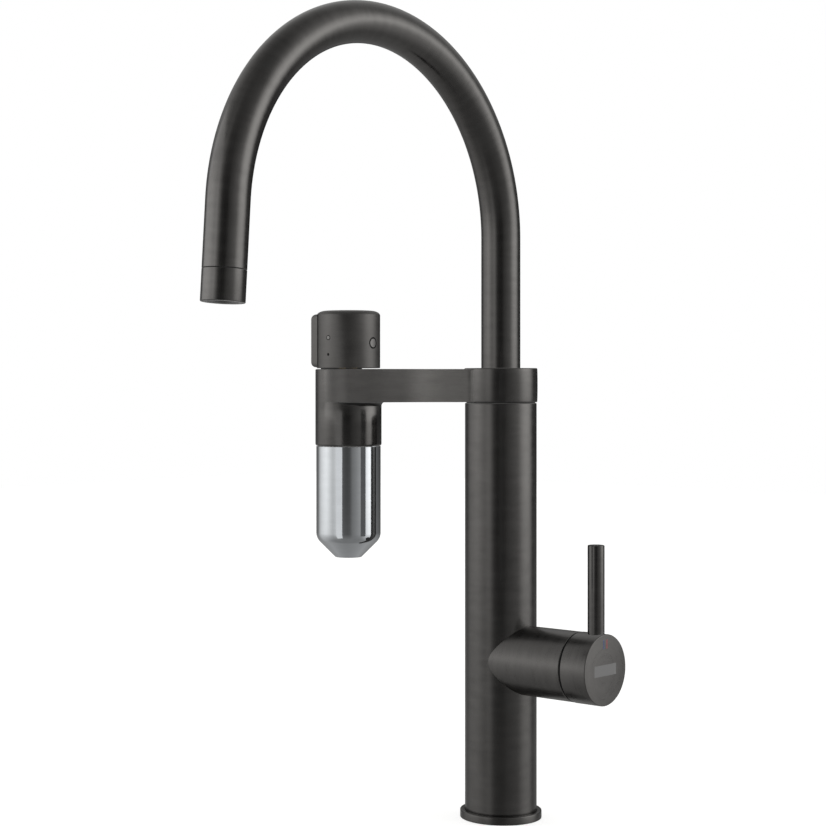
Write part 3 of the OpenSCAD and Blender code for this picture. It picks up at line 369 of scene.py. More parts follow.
def brushed(name, color, spread, rough, rough_spread, axis="uv", grain=1.0, metallic=1.0, flank=None):
    """Brushed metal: fine streaks that run round the piece, mottled patches and a low grain.

    flank gives (colour, roughness, metallic) of a blasted finish, where the mesh has its matt
    attribute. Where it has its second attribute too, that finish is painted lighter: a painted highlight.
    """
    mat, tree, bsdf = new_material(name)
    coord = node(tree, "TexCoord")
    if axis == "uv":
        uv = node(tree, "UVMap", uv_map="grain").outputs[0]
        streak, fine, patch = (mapped(tree, uv, scale) for scale in ROUND_GRAIN)
    else:
        source = coord.outputs["Object"]
        streak, fine, patch = (mapped(tree, source, scale) for scale in (STREAKS[axis], FINE_GRAIN, PATCHES))
    streaks = noise(tree, streak, 1.0, 3.0, 0.6)
    grains = noise(tree, fine, 1.0, 2.0, 0.6)
    patches = noise(tree, patch, 1.0, 3.0, 0.6)
    clouds = noise(tree, coord.outputs["Object"], 60.0, 4.0, 0.55)
    mixed = sum_of(tree, (streaks, 0.25), (grains, 0.2), (patches, 0.35), (clouds, 0.2))
    colour = tint(tree, mixed, *shades(color, spread), *BRUSHED_RANGE)
    roughness = remap(tree, mixed, rough - rough_spread, rough + rough_spread, *BRUSHED_RANGE)
    if flank:
        flank_color, flank_rough, flank_metallic = flank
        matt = node(tree, "Attribute", attribute_name="matt").outputs["Fac"]
        painted_highlight = node(tree, "Attribute", attribute_name="painted_highlight").outputs["Fac"]
        blast = tint(tree, mixed, *shades(flank_color, spread), *BRUSHED_RANGE)
        # Painted highlight: the blasted colour is lifted where the mesh has its second attribute
        blast = multiply_colour(tree, blast, painted_highlight, 1.0, PAINTED_HIGHLIGHT_LIFT)
        made = node(tree, "Mix", data_type="RGBA")
        for link, i in ((matt, 0), (colour, 6), (blast, 7)):
            tree.links.new(link, made.inputs[i])
        colour = made.outputs[2]
        rougher = math_node(tree, "MULTIPLY", matt, flank_rough - rough)
        roughness = math_node(tree, "ADD", roughness, rougher)
        tree.links.new(remap(tree, matt, metallic, flank_metallic, 0.0, 1.0), bsdf.inputs["Metallic"])
    tree.links.new(colour, bsdf.inputs["Base Color"])
    tree.links.new(roughness, bsdf.inputs["Roughness"])
    bsdf.inputs["Metallic"].default_value = metallic
    bump(tree, bsdf, [(streaks, 2.2e-6 * grain), (grains, 1.5e-6 * grain), (patches, 4e-6 * grain)])
    return mat


def blasted(name, color, spread, rough, rough_spread):
    """Fine blasted metal: an even grain without direction."""
    mat, tree, bsdf = new_material(name)
    source = node(tree, "TexCoord").outputs["Object"]
    grains = noise(tree, source, 2600.0, 2.0, 0.6)
    clouds = noise(tree, source, 40.0, 4.0, 0.55)
    mixed = sum_of(tree, (grains, 0.6), (clouds, 0.4))
    roughness = remap(tree, mixed, rough - rough_spread, rough + rough_spread, *BLASTED_RANGE)
    tree.links.new(tint(tree, mixed, *shades(color, spread), *BLASTED_RANGE), bsdf.inputs["Base Color"])
    tree.links.new(roughness, bsdf.inputs["Roughness"])
    bsdf.inputs["Metallic"].default_value = 1.0
    bump(tree, bsdf, [(grains, 3.0e-6)])
    return mat


def moulded(name, color, spread, rough, scale=700.0, depth=4e-6, spec=0.5):
    """Moulded plastic, rubber or ceramic: a faint surface grain and slightly uneven colour."""
    mat, tree, bsdf = new_material(name)
    source = node(tree, "TexCoord").outputs["Object"]
    grains = noise(tree, source, scale, 3.0, 0.6)
    clouds = noise(tree, source, 60.0, 3.0, 0.5)
    mixed = sum_of(tree, (grains, 0.5), (clouds, 0.5))
    tree.links.new(tint(tree, mixed, *shades(color, spread)), bsdf.inputs["Base Color"])
    tree.links.new(remap(tree, mixed, rough * 0.85, min(1, rough * 1.15)), bsdf.inputs["Roughness"])
    bsdf.inputs["Specular IOR Level"].default_value = spec
    bump(tree, bsdf, [(grains, depth)])
    return mat


def lighter(color, times):
    return tuple(c * times for c in color)


BLACK = (0.106, 0.103, 0.100)
FLANK = (0.139, 0.135, 0.131)
CAPSULE = (0.63, 0.655, 0.68)
MATS = {
    "black_satin": brushed("black_satin", BLACK, 0.14, 0.20, 0.05, metallic=0.92),
    "black_satin_z": brushed("black_satin_z", BLACK, 0.14, 0.20, 0.05, "z", metallic=0.92),
    "black_satin_x": brushed("black_satin_x", BLACK, 0.14, 0.22, 0.05, "x", metallic=0.92),
    "black_matt": brushed("black_matt", lighter(BLACK, 1.12), 0.12, 0.42, 0.05, grain=0.5, metallic=0.9),
    # Half as light as the black: painted shade, for the fillet under the bar
    "black_painted_shade": brushed("black_painted_shade", (0.05, 0.049, 0.048), 0.13, 0.30, 0.05),
    "black_housing": brushed("black_housing", lighter(BLACK, 1.13), 0.14, 0.31, 0.05, metallic=0.92),
    "black_arm": brushed("black_arm", BLACK, 0.13, 0.20, 0.05, metallic=0.95, flank=(FLANK, 0.6, 0.5)),
    "brushed_capsule": brushed("brushed_capsule", CAPSULE, 0.05, 0.075, 0.02),
    "button": brushed("button", (0.15, 0.147, 0.144), 0.1, 0.3, 0.05, "o"),
    "brass": brushed("brass", (0.72, 0.55, 0.28), 0.08, 0.25, 0.06, "z"),
    "copper": brushed("copper", (0.78, 0.45, 0.30), 0.08, 0.3, 0.06, "z"),
    "steel": brushed("steel", (0.60, 0.61, 0.62), 0.06, 0.25, 0.05, "o"),
    "rubber": moulded("rubber", (0.03, 0.03, 0.032), 0.15, 0.7),
    "slip_plastic": moulded("slip_plastic", (0.05, 0.05, 0.052), 0.1, 0.5),
    "ceramic": moulded("ceramic", (0.88, 0.87, 0.83), 0.02, 0.15, 1500.0, 1e-6),
    "white_plastic": moulded("white_plastic", (0.82, 0.82, 0.79), 0.03, 0.4),
    "dark_plastic": moulded("dark_plastic", (0.09, 0.09, 0.095), 0.12, 0.42),
    "carbon": moulded("carbon", (0.05, 0.048, 0.045), 0.3, 0.9, 1800.0, 3e-5),
    "blue_mark": moulded("blue_mark", (0.06, 0.10, 0.24), 0.08, 0.35),
    "red_mark": moulded("red_mark", (0.38, 0.085, 0.095), 0.08, 0.35),
    "grey_mark": blasted("grey_mark", (0.2, 0.2, 0.2), 0.06, 0.4, 0.04),
    # Near black: print of the knob's marks, and also painted shade on the nozzle's groove, the stop plate and the
    # ring in the cap's gap
    "dark_mark": moulded("dark_mark", (0.008, 0.008, 0.008), 0.2, 0.6, spec=0.1),
    "aerator_plastic": moulded("aerator_plastic", (0.20, 0.20, 0.20), 0.06, 0.4),
}
# CAD meshes have no grain coordinates, so on them a brushed finish runs along an axis
ON_CAD = {"black_satin": "black_satin_z", "black_matt": "black_satin_z", "brushed_capsule": "steel"}
OWN_FINISH = {
    "handle_cap": "black_satin_x",
    "valve_housing": "black_satin_x",
    "retaining_ring": "black_satin_z",
    "aerator_insert": "aerator_plastic",
}
for part in frame["record"]["subparts"]:
    name, slot = part["node"], part["material_slot"]
    materials = NODES[name].data.materials
    materials.clear()
    materials.append(MATS[OWN_FINISH.get(name) or ON_CAD.get(slot, slot)])


# Studio: a white surround, darker on the camera's side

# Light round the object at its own height: (degrees from the camera's side, level)
AROUND = [
    (-180, 0.14), (-160, 0.12), (-143, 0.08), (-134, 0.22), (-124, 0.52), (-112, 0.76), (-98, 0.93),
    (-86, 1.0), (-76, 0.88), (-66, 0.70), (-59, 0.60), (-52, 0.62), (-46, 0.72), (-41, 0.68),
    (-36, 0.50), (-30, 0.23), (-24, 0.10), (-13, 0.055), (-4, 0.045), (5, 0.06), (14, 0.16), (28, 0.235),
    (42, 0.33), (52, 0.40), (60, 0.66), (68, 1.0), (77, 1.22), (88, 1.28), (98, 1.12), (107, 0.62),
    (117, 0.10), (150, 0.03),
]
# How far that light goes up and down: (sine of the height angle, share)
UPWARD = [(-1, 0), (-0.75, 0.06), (-0.45, 0.32), (-0.19, 0.56), (-0.13, 0.67), (-0.07, 0.85), (0.0, 1.0),
          (0.06, 1.12), (0.13, 1.14), (0.3, 0.78), (0.5, 0.46), (0.75, 0.2), (1, 0)]
# What the light on the right has above that
LIFTED = [(-1, 0), (0.0, 0.0), (0.1, 0.35), (0.22, 1.0), (0.4, 0.8), (0.6, 0.2), (1, 0)]
RIGHT_LIFT = 0.55
STUDIO_LEVEL = 1.3
# Even light from the camera's side and from behind
AMBIENT = (0.18, 0.33)
# A little more from high up behind the object
LOFT = 0.2


def curve(tree, value, points, low, high):
    """A value read off (position, level) points, between low and high."""
    ramp = node(tree, "ValToRGB")
    top = max(v for _, v in points)
    elements = ramp.color_ramp.elements
    scaled = [((a - low) / (high - low), v / top) for a, v in points]
    elements[0].position, elements[1].position = scaled[0][0], scaled[-1][0]
    elements[0].color, elements[1].color = (scaled[0][1],) * 3 + (1,), (scaled[-1][1],) * 3 + (1,)
    for pos, v in scaled[1:-1]:
        made = elements.new(pos)
        made.color = (v, v, v, 1)
    tree.links.new(remap(tree, value, 0.0, 1.0, low, high), ramp.inputs[0])
    return math_node(tree, "MULTIPLY", ramp.outputs[0], top)


def build_world():
    """Studio light for the object, and plain white for the camera."""
    world = bpy.data.worlds.new("studio")
    bpy.context.scene.world = world
    world.use_nodes = True
    tree = world.node_tree
    tree.nodes.clear()
    out = tree.nodes.new("ShaderNodeOutputWorld")
    coord = node(tree, "TexCoord")
    turn = node(tree, "Mapping", vector_type="POINT")
    turn.inputs["Rotation"].default_value = (0, 0, math.pi / 2 - VIEW_TURN)
    tree.links.new(coord.outputs["Generated"], turn.inputs["Vector"])
    parts = node(tree, "SeparateXYZ")
    tree.links.new(turn.outputs[0], parts.inputs[0])
    # Each direction's part towards the front, to the right and up
    front, right, up = parts.outputs
    angle = math_node(tree, "MULTIPLY", math_node(tree, "ARCTAN2", right, front), 180 / math.pi)
    around = curve(tree, angle, AROUND, -180, 180)
    share = curve(tree, up, UPWARD, -1, 1)
    aside = remap(tree, right, 0.0, RIGHT_LIFT, 0.3, 0.9)
    lift = math_node(tree, "MULTIPLY", aside, curve(tree, up, LIFTED, -1, 1))
    ring = math_node(tree, "MULTIPLY", around, math_node(tree, "ADD", share, lift))
    ambient = remap(tree, front, AMBIENT[1], AMBIENT[0], -0.45, 0.1)
    gap = math_node(tree, "MAXIMUM", math_node(tree, "SUBTRACT", 1.0, share), 0.0)
    rest = math_node(tree, "MULTIPLY", gap, ambient)
    behind = remap(tree, front, 1.0, 0.0, -0.7, 0.0)
    rise = remap(tree, up, 0.0, 1.0, 0.12, 0.45)
    fall = remap(tree, up, 1.0, 0.0, 0.75, 0.95)
    height = math_node(tree, "MULTIPLY", rise, fall)
    loft = math_node(tree, "MULTIPLY", height, math_node(tree, "MULTIPLY", behind, LOFT))
    level = math_node(tree, "ADD", math_node(tree, "ADD", ring, rest), loft)
    studio = node(tree, "Background")
    studio.inputs["Color"].default_value = (1.0, 0.995, 0.985, 1)
    tree.links.new(math_node(tree, "MULTIPLY", level, STUDIO_LEVEL), studio.inputs["Strength"])
    white = node(tree, "Background")
    white.inputs["Color"].default_value = (1, 1, 1, 1)
    path = node(tree, "LightPath")
    seen = math_node(tree, "MAXIMUM", path.outputs["Is Camera Ray"], path.outputs["Is Transmission Ray"])
    mix = node(tree, "MixShader")
    tree.links.new(seen, mix.inputs[0])
    tree.links.new(studio.outputs[0], mix.inputs[1])
    tree.links.new(white.outputs[0], mix.inputs[2])
    tree.links.new(mix.outputs[0], out.inputs[0])


def shown_through(tree, share, shader, other):
    """Puts a mix on the material's output: shader where share is 0, other where it is 1."""
    mix = node(tree, "MixShader")
    tree.links.new(share, mix.inputs[0])
    tree.links.new(shader, mix.inputs[1])
    tree.links.new(other, mix.inputs[2])
    out = next(n for n in tree.nodes if n.type == "OUTPUT_MATERIAL")
    tree.links.new(mix.outputs[0], out.inputs[0])


def build_floor():
    """A wide pale floor that the camera sees as white, with the object's shadow on it."""
    half, top = 3000.0, -0.05
    corners = [(-half, -half, top), (half, -half, top), (half, half, top), (-half, half, top)]
    ob = add_mesh("floor", corners, [[0, 1, 2, 3]])
    mat, tree, bsdf = new_material("floor")
    clouds = noise(tree, node(tree, "TexCoord").outputs["Object"], 3.0, 2.0, 0.5)
    tree.links.new(tint(tree, clouds, (0.80, 0.80, 0.79), (0.84, 0.84, 0.83)), bsdf.inputs["Base Color"])
    bsdf.inputs["Roughness"].default_value = 0.8
    bsdf.inputs["Specular IOR Level"].default_value = 0.0
    path = node(tree, "LightPath")
    seen = math_node(tree, "MULTIPLY", path.outputs["Is Camera Ray"], 0.72)
    tree.links.new(seen, bsdf.inputs["Emission Strength"])
    bsdf.inputs["Emission Color"].default_value = (1, 1, 1, 1)
    clear = node(tree, "BsdfTransparent").outputs[0]
    shown_through(tree, path.outputs["Is Glossy Ray"], bsdf.outputs[0], clear)
    ob.data.materials.append(mat)


def build_camera():
    data = bpy.data.cameras.new("camera")
    data.lens = LENS
    data.sensor_width = SENSOR
    data.shift_x, data.shift_y = SHIFT
    data.dof.use_dof = False
    data.clip_start, data.clip_end = 0.02, 50
    ob = bpy.data.objects.new("camera", data)
    ob.location = CAMERA_AT
    ob.rotation_euler = (math.pi / 2, 0, VIEW_TURN)
    bpy.context.scene.collection.objects.link(ob)
    bpy.context.scene.camera = ob


build_world()
build_floor()
build_camera()
bpy.context.scene.view_settings.view_transform = "Standard"


# Column and base ring

base_bore = COLUMN_R + 0.12
base_profile = rounded(
    [(base_bore, 1.3), (base_bore, BASE_TOP), (BASE_R, BASE_TOP), (BASE_R, 0), (23.9, 0), (23.7, 1.3)],
    [0, 0.25, 0.7, 0.35, 0.1, 0])
piece(lathe("base_flange", base_profile), "column", "black_satin", "black_satin", "base_ring")

column_profile = rounded(
    [(COLUMN_BORE, COLUMN_FOOT), (COLUMN_BORE, COLUMN_TOP), (COLUMN_R, COLUMN_TOP), (COLUMN_R, COLUMN_FOOT)],
    [0, 0.2, 0.7, 0.2])
piece(lathe("column_tube", column_profile, 220), "column", "black_satin", "black_satin", "body_column")


def housing_piece():
    """Tube of the valve housing: its inner end follows the column, its outer end has a small chamfer."""
    steps, chamfer, sunk = 160, 0.15, 0.15
    bore = HOUSING_R - HOUSING_WALL
    end = HOUSING_END - chamfer
    verts, uvs, faces = [], [], []
    for i in range(steps):
        t = 2 * math.pi * i / steps
        foot = math.sqrt(COLUMN_R ** 2 - (HOUSING_R * math.cos(t)) ** 2) - sunk
        row = [(foot + (end - foot) * share, HOUSING_R) for share in (0, 0.2, 0.4, 0.6, 0.8)]
        row += [(end, HOUSING_R), (HOUSING_END, HOUSING_R - chamfer), (HOUSING_END, bore), (CARTRIDGE_SEAT, bore)]
        for x, r in row:
            verts.append((x, r * math.cos(t), VALVE_Z + r * math.sin(t)))
            uvs.append((t * HOUSING_R * MM, x * MM))
    n = len(row)
    for i in range(steps):
        k = (i + 1) % steps
        for j in range(n - 1):
            faces.append([i * n + j, k * n + j, k * n + j + 1, i * n + j + 1])
    return add_mesh("valve_housing_tube", verts, faces, uvs=uvs, around=2 * math.pi * HOUSING_R * MM)


piece(housing_piece(), "column", "black_satin", "black_housing", "valve_housing")


# Spout: riser, bend and straight end as one tube, then the nozzle

RISE_LEN = BEND_Z - RISER_FOOT
ARC_LEN = BEND_R * BEND_TURN
TUBE_LEN = RISE_LEN + ARC_LEN + END_LEN


def spout_point(s):
    """(centre, direction) of the spout's axis, s millimetres along it from the riser's foot."""
    if s < RISE_LEN:
        return Vector((0, 0, RISER_FOOT + s)), Vector((0, 0, 1))
    s -= RISE_LEN
    b = min(s / BEND_R, BEND_TURN)
    centre = Vector((0, BEND_R * math.cos(b) - BEND_R, BEND_Z + BEND_R * math.sin(b)))
    ahead = Vector((0, -math.sin(b), math.cos(b)))
    return centre + ahead * max(0, s - ARC_LEN), ahead


def sweep(name, stations):
    """A tube through (distance, radius) stations along the spout's axis."""
    steps, side = 128, Vector((1, 0, 0))
    verts, uvs = [], []
    for s, r in stations:
        centre, ahead = spout_point(s)
        across = ahead.cross(side)
        for i in range(steps):
            t = 2 * math.pi * (i + 0.5) / steps
            verts.append(centre + r * (math.cos(t) * side + math.sin(t) * across))
            uvs.append((t * SPOUT_R * MM, s * MM))
    faces = grid_faces(len(stations), steps)
    return add_mesh(name, verts, faces, uvs=uvs, around=2 * math.pi * SPOUT_R * MM)


def spout_pieces():
    """The tube, the nozzle's sleeve and spigot, and the rim round the jets."""
    seam_edge = 0.12
    tube = [(0.0, SPOUT_R - 1.4), (0.0, SPOUT_R)]
    tube += [(RISE_LEN * i / 10, SPOUT_R) for i in range(1, 10)]
    tube += [(RISE_LEN + ARC_LEN * i / 120, SPOUT_R) for i in range(121)]
    tube += [(TUBE_LEN - 20, SPOUT_R), (TUBE_LEN - seam_edge, SPOUT_R), (TUBE_LEN, SPOUT_R - seam_edge)]
    piece(sweep("swan_neck", tube), "spout", "black_satin", "black_satin", "spout_tube")

    start, end, lip = TUBE_LEN + GROOVE, TUBE_LEN + GROOVE + NOZZLE_LEN, 0.4
    sleeve = [(start, SPOUT_R - 1.45), (start, SPOUT_R - seam_edge), (start + seam_edge, SPOUT_R)]
    for t in (0, 0.4, 0.8, 1.2, 1.5708):
        sleeve.append((end - lip + lip * math.sin(t), SPOUT_R - lip + lip * math.cos(t)))
    sleeve += [(end, SPOUT_R - 1.15), (end - 0.15, SPOUT_R - 1.3), (end - 1.8, SPOUT_R - 1.35)]
    piece(sweep("nozzle_sleeve", sleeve), "spout", "black_satin", "black_satin", "nozzle_collar")

    # The spigot and the tube's end face are near black: painted shade in the groove between tube and nozzle
    spigot = [(TUBE_LEN, SPOUT_R - seam_edge), (TUBE_LEN, SPOUT_R - 1.5), (start + 1, SPOUT_R - 1.5)]
    piece(sweep("nozzle_spigot", spigot), "spout", "black_satin", "dark_mark", "nozzle_collar")

    rim = [(end - 1.9, SPOUT_R - 1.42), (end - 0.25, SPOUT_R - 1.4), (end - 0.05, SPOUT_R - 1.6),
           (end - 0.05, SPOUT_R - 3.2), (end - 0.3, SPOUT_R - 3.5), (end - 1.9, SPOUT_R - 3.5)]
    piece(sweep("aerator_rim", rim), "spout", "dark_plastic", "aerator_plastic")


spout_pieces()


# Arm: collar, bar with drawn-in flanks, holder with the fillet under the bar; u runs along the arm, v across


def flank_v(u):
    """Half width of the bar at u millimetres from the column's axis."""
    t = min(1, max(0, (u - FLARE_FROM) / (FLARE_TO - FLARE_FROM)))
    return WAIST + (HOLDER_R + OVERHANG - WAIST) * (1 - math.cos(math.pi * t)) / 2


def ease(value, low, high):
    """Goes smoothly from 0 at low to 1 at high."""
    t = min(1, max(0, (value - low) / (high - low)))
    return t * t * (3 - 2 * t)


def end_r(turn):
    """Radius of the bar's round end: a little over the holder's at its flanks; turn is in radians."""
    return HOLDER_R + OVERHANG * ease(abs(math.degrees(turn)), 62, 88)


def paint_arm(ob):
    """Marks where the bar has its blasted finish, and where that finish gets a painted highlight."""
    matt = ob.data.attributes.new("matt", "FLOAT", "POINT")
    painted_highlight = ob.data.attributes.new("painted_highlight", "FLOAT", "POINT")
    back = ARM.inverted()
    for i, vertex in enumerate(ob.data.vertices):
        u, v, _ = back @ (vertex.co / MM)
        turn = math.degrees(math.atan2(abs(v), u - ARM_REACH)) if u > ARM_REACH else 90
        matt.data[i].value = ease(turn, 38, 60) * ease(u, 17.5, 22.5)
        # Painted highlight on the flanks: strongest on the half towards the collar, with a little at the bar's
        # round end
        highlight_near_collar = (1 - ease(u, 47, 63)) * (0.75 + 0.25 * ease(u, 34, 46))
        painted_highlight.data[i].value = 0.14 * ease(turn, 62, 88) + 0.86 * highlight_near_collar


def collar_piece():
    """Collar round the column's head: slightly barrelled, with both edges rounded."""
    edge, barrel, steps = 0.8, 0.15, 10
    low, high = COLLAR_FOOT + edge, COLLAR_TOP - edge
    outer = []
    for i in range(steps + 1):
        t = 2 * i / steps - 1
        outer.append((COLLAR_R - barrel * t * t, low + (high - low) * i / steps))
    r = COLLAR_R - barrel - edge
    foot = [(r + edge * math.sin(t), low - edge * math.cos(t)) for t in quarter(6)[:-1]]
    top = [(r + edge * math.cos(t), high + edge * math.sin(t)) for t in quarter(6)[1:]]
    bore, ledge, lip = 18.05, 20.0, 0.25
    inner = [(ledge + lip, COLLAR_TOP), (ledge, COLLAR_TOP - lip), (ledge, RISER_FOOT), (bore, RISER_FOOT),
             (bore, COLLAR_FOOT)]
    return lathe("arm_collar", foot + outer + top + inner, 200, ARM)


def bar_outline():
    """The bar's outline as (u, v, share) points; its lower edge is rounded by that share."""
    centre_v = WAIST + CORNER
    centre_u = math.sqrt((COLLAR_R - 0.1 + CORNER) ** 2 - centre_v ** 2)
    back = math.atan2(centre_v, centre_u)
    flank = [(BAR_IN * math.cos(back), BAR_IN * math.sin(back), 1.0)]
    for i in range(12):
        t = -math.pi + back + (math.pi / 2 - back) * i / 12
        flank.append((centre_u + CORNER * math.cos(t), centre_v + CORNER * math.sin(t), 1.0))
    flank += [(u, flank_v(u), 1.0) for u in (centre_u + (ARM_REACH - centre_u) * i / 90 for i in range(90))]
    outline = list(flank)
    for i in range(73):
        t = math.pi / 2 - math.pi * i / 72
        outline.append((ARM_REACH + end_r(t) * math.cos(t), end_r(t) * math.sin(t), 0.0))
    outline += [(u, -v, share) for u, v, share in reversed(flank)]
    for i in range(1, 24):
        t = -back + 2 * back * i / 24
        outline.append((BAR_IN * math.cos(t), BAR_IN * math.sin(t), 0.0))
    return outline


def seat_walls(bm):
    """Walls of the filter valve's seat in the bar's top; returns the edges of its mouth."""
    steps, r, depth = 72, 15.5, 12

    def circle(z):
        turns = [2 * math.pi * i / steps for i in range(steps)]
        points = [Vector((ARM_REACH + r * math.cos(t), r * math.sin(t), z)) for t in turns]
        return [bm.verts.new((ARM @ point) * MM) for point in points]

    mouth = circle(BAR_TOP)
    edges = [bm.edges.new((mouth[i], mouth[(i + 1) % steps])) for i in range(steps)]
    low = circle(BAR_TOP - depth)
    for i in range(steps):
        k = (i + 1) % steps
        bm.faces.new([mouth[i], low[i], low[k], mouth[k]])
    return edges


def bar_piece():
    """Bar of the arm: one outline lofted upward, with its edges eased, and a seat for the valve."""
    low_edge, top_edge = 0.35, 0.8
    outline = bar_outline()
    n = len(outline)
    normals = []
    for i in range(n):
        p, q = outline[i - 1], outline[(i + 1) % n]
        ahead = Vector((q[0] - p[0], q[1] - p[1])).normalized()
        normals.append(Vector((-ahead.y, ahead.x)))
    run = [0.0]
    for p, q in zip(outline, outline[1:]):
        run.append(run[-1] + math.dist(p[:2], q[:2]))
    levels = [(low_edge * (1 - math.sin(t)), low_edge * (1 - math.cos(t)), False) for t in quarter(6)]
    levels += [(top_edge * (1 - math.cos(t)), top_edge * (1 - math.sin(t)), True) for t in quarter(6)]
    verts, uvs = [], []
    for inset, drop, top in levels:
        for i, (u, v, share) in enumerate(outline):
            scale = 1.0 if top else share
            d = inset * scale
            z = BAR_TOP - drop * scale if top else BAR_Z + drop * scale
            verts.append((u - normals[i].x * d, v - normals[i].y * d, z))
            uvs.append((run[i] * MM, z * MM))
    ob = add_mesh("arm_bar", verts, grid_faces(len(levels), n), ARM, uvs=uvs)
    bm = bmesh.new()
    bm.from_mesh(ob.data)
    bm.verts.ensure_lookup_table()
    for row in (0, len(levels) - 1):
        ring = [bm.verts[row * n + i] for i in range(n)]
        edges = [bm.edges.get((ring[i], ring[(i + 1) % n])) for i in range(n)]
        if row:
            edges += seat_walls(bm)
        bmesh.ops.triangle_fill(bm, use_beauty=True, edges=edges)
    bmesh.ops.recalc_face_normals(bm, faces=bm.faces)
    bm.to_mesh(ob.data)
    bm.free()
    ob.data.shade_smooth()
    ob.data.set_sharp_from_angle(angle=math.radians(30))
    paint_arm(ob)
    return ob


def holder_piece():
    """Holder under the bar's end: the capsule's socket with a rounded foot, and the water channel."""
    foot_r, channel_r, into_bar = 1.4, 4.0, 0.6
    foot = [(HOLDER_R - foot_r + foot_r * math.sin(t), HOLDER_FOOT + foot_r - foot_r * math.cos(t))
            for t in quarter(8)]
    profile = [(SOCKET_R, SOCKET_TOP), (SOCKET_R, HOLDER_FOOT)] + foot
    profile += [(HOLDER_R, 242.0), (HOLDER_R, BAR_Z + 0.02), (HOLDER_R - 0.4, BAR_Z + into_bar),
                (channel_r, BAR_Z + into_bar), (channel_r, SOCKET_TOP)]
    return lathe("arm_holder", profile, 180, HOLDER)


def fillet_piece():
    """Fillet under the bar round the holder, fading out towards the arm's end."""
    spans, steps, spread, largest = 120, 8, 112, 2.4
    verts, faces, uvs = [], [], []
    for i in range(spans + 1):
        turn = math.radians(-spread + 2 * spread * i / spans)
        if abs(turn) > math.pi / 2:
            room = end_r(math.pi - abs(turn)) - HOLDER_R
        else:
            room = min(9.0, (HOLDER_R + OVERHANG) / max(0.3, math.sin(abs(turn))) - HOLDER_R)
        f = max(0.01, min(largest, room - 0.04))
        for k, t in enumerate(quarter(steps)):
            r = HOLDER_R + f - f * math.cos(t)
            z = BAR_Z + 0.02 - f + f * math.sin(t)
            verts.append((ARM_REACH - r * math.cos(turn), r * math.sin(turn), z))
            uvs.append((i * 0.001, k * 0.0003))
    n = steps + 1
    for i in range(spans):
        for k in range(steps):
            faces.append([i * n + k, (i + 1) * n + k, (i + 1) * n + k + 1, i * n + k + 1])
    return add_mesh("arm_fillet", verts, faces, ARM, uvs=uvs)


# The fillet under the bar gets the darker black: painted shade
for made, mat in ((collar_piece(), "black_arm"), (bar_piece(), "black_arm"), (holder_piece(), "black_arm"),
                  (fillet_piece(), "black_painted_shade")):
    piece(made, "arm", "black_matt", mat, "filter_arm")


# Knob and its grip


def knob_piece():
    """Knob: a hollow cap with a softened rim."""
    foot_r, rim_w, rim_h = 0.4, 5.5, 3.0
    profile = [(17.0, KNOB_Z + 0.2), (17.2, KNOB_Z), (KNOB_R - foot_r, KNOB_Z)]
    for t in quarter(10)[1::3]:
        profile.append((KNOB_R - foot_r + foot_r * math.sin(t), KNOB_Z + foot_r - foot_r * math.cos(t)))
    profile += [(KNOB_R, KNOB_Z + foot_r), (KNOB_R, KNOB_TOP - 14), (KNOB_R, KNOB_TOP - rim_h)]
    for t in quarter(10)[1:]:
        profile.append((KNOB_R - rim_w + rim_w * math.cos(t), KNOB_TOP - rim_h + rim_h * math.sin(t)))
    profile += [(0, KNOB_TOP), (0, KNOB_TOP - 2.4), (14.0, KNOB_TOP - 2.6), (17.0, KNOB_TOP - 4.5)]
    return lathe("knob_shell", profile, 180, HOLDER)


def grip_piece():
    """Finger grip: a wedge with rounded ends that stands out from the knob's side."""
    low, high, reach, corner, edge = 276.5, 308.8, KNOB_R + 3.4, 3.0, 0.7
    half, tip, inner = 5.5, 1.8, KNOB_R - 2.0
    plan = rounded([(inner, -half), (KNOB_R, -half), (reach, -tip), (reach, tip), (KNOB_R, half), (inner, half)],
                   [0, 0, edge, edge, 0, 0], 5)
    levels = [(corner * (1 - math.sin(t)), low + corner * (1 - math.cos(t))) for t in quarter(8)]
    levels += [(corner * (1 - math.cos(t)), high - corner * (1 - math.sin(t))) for t in quarter(8)]
    run = [0.0]
    for p, q in zip(plan, plan[1:]):
        run.append(run[-1] + math.dist(p, q))
    verts, uvs = [], []
    for inset, z in levels:
        for (x, y), along in zip(plan, run):
            verts.append((min(x, max(inner, reach - inset)) if x > inner else x, y, z))
            uvs.append((along * MM, z * MM))
    n = len(plan)
    faces = grid_faces(len(levels), n, closed=False)
    faces.append(list(range(n)))
    faces.append([(len(levels) - 1) * n + i for i in range(n)])
    return add_mesh("knob_finger_grip", verts, faces, HOLDER, uvs=uvs)


def knob_mark(name, turn, z, outer, inner, slot, mat):
    """A round mark let into the knob's side: a ring, or a disc where inner is 0."""
    steps = 48
    face_r, foot_r = KNOB_R + 0.02, KNOB_R - 0.3
    rows = [(outer, foot_r)] + [(outer + (inner - outer) * k / 4, face_r) for k in range(5 if inner else 4)]
    if inner:
        rows.append((inner, foot_r))
    verts = []
    for size, r in rows:
        for i in range(steps):
            t = 2 * math.pi * i / steps
            a = turn + size * math.cos(t) / KNOB_R
            verts.append((r * math.cos(a), r * math.sin(a), z + size * math.sin(t)))
    faces = grid_faces(len(rows), steps)
    if not inner:
        verts.append((face_r * math.cos(turn), face_r * math.sin(turn), z))
        last = (len(rows) - 1) * steps
        faces += [[last + i, last + (i + 1) % steps, len(verts) - 1] for i in range(steps)]
    uvs = [(y * MM, h * MM) for _, y, h in verts]
    ob = add_mesh(name, verts, faces, HOLDER @ Matrix.Rotation(-ARM_TURN, 4, "Z"), uvs=uvs)
    return piece(ob, "knob", slot, mat, "knob_ring_marks", "knob_dot_marks", "knob_lens")


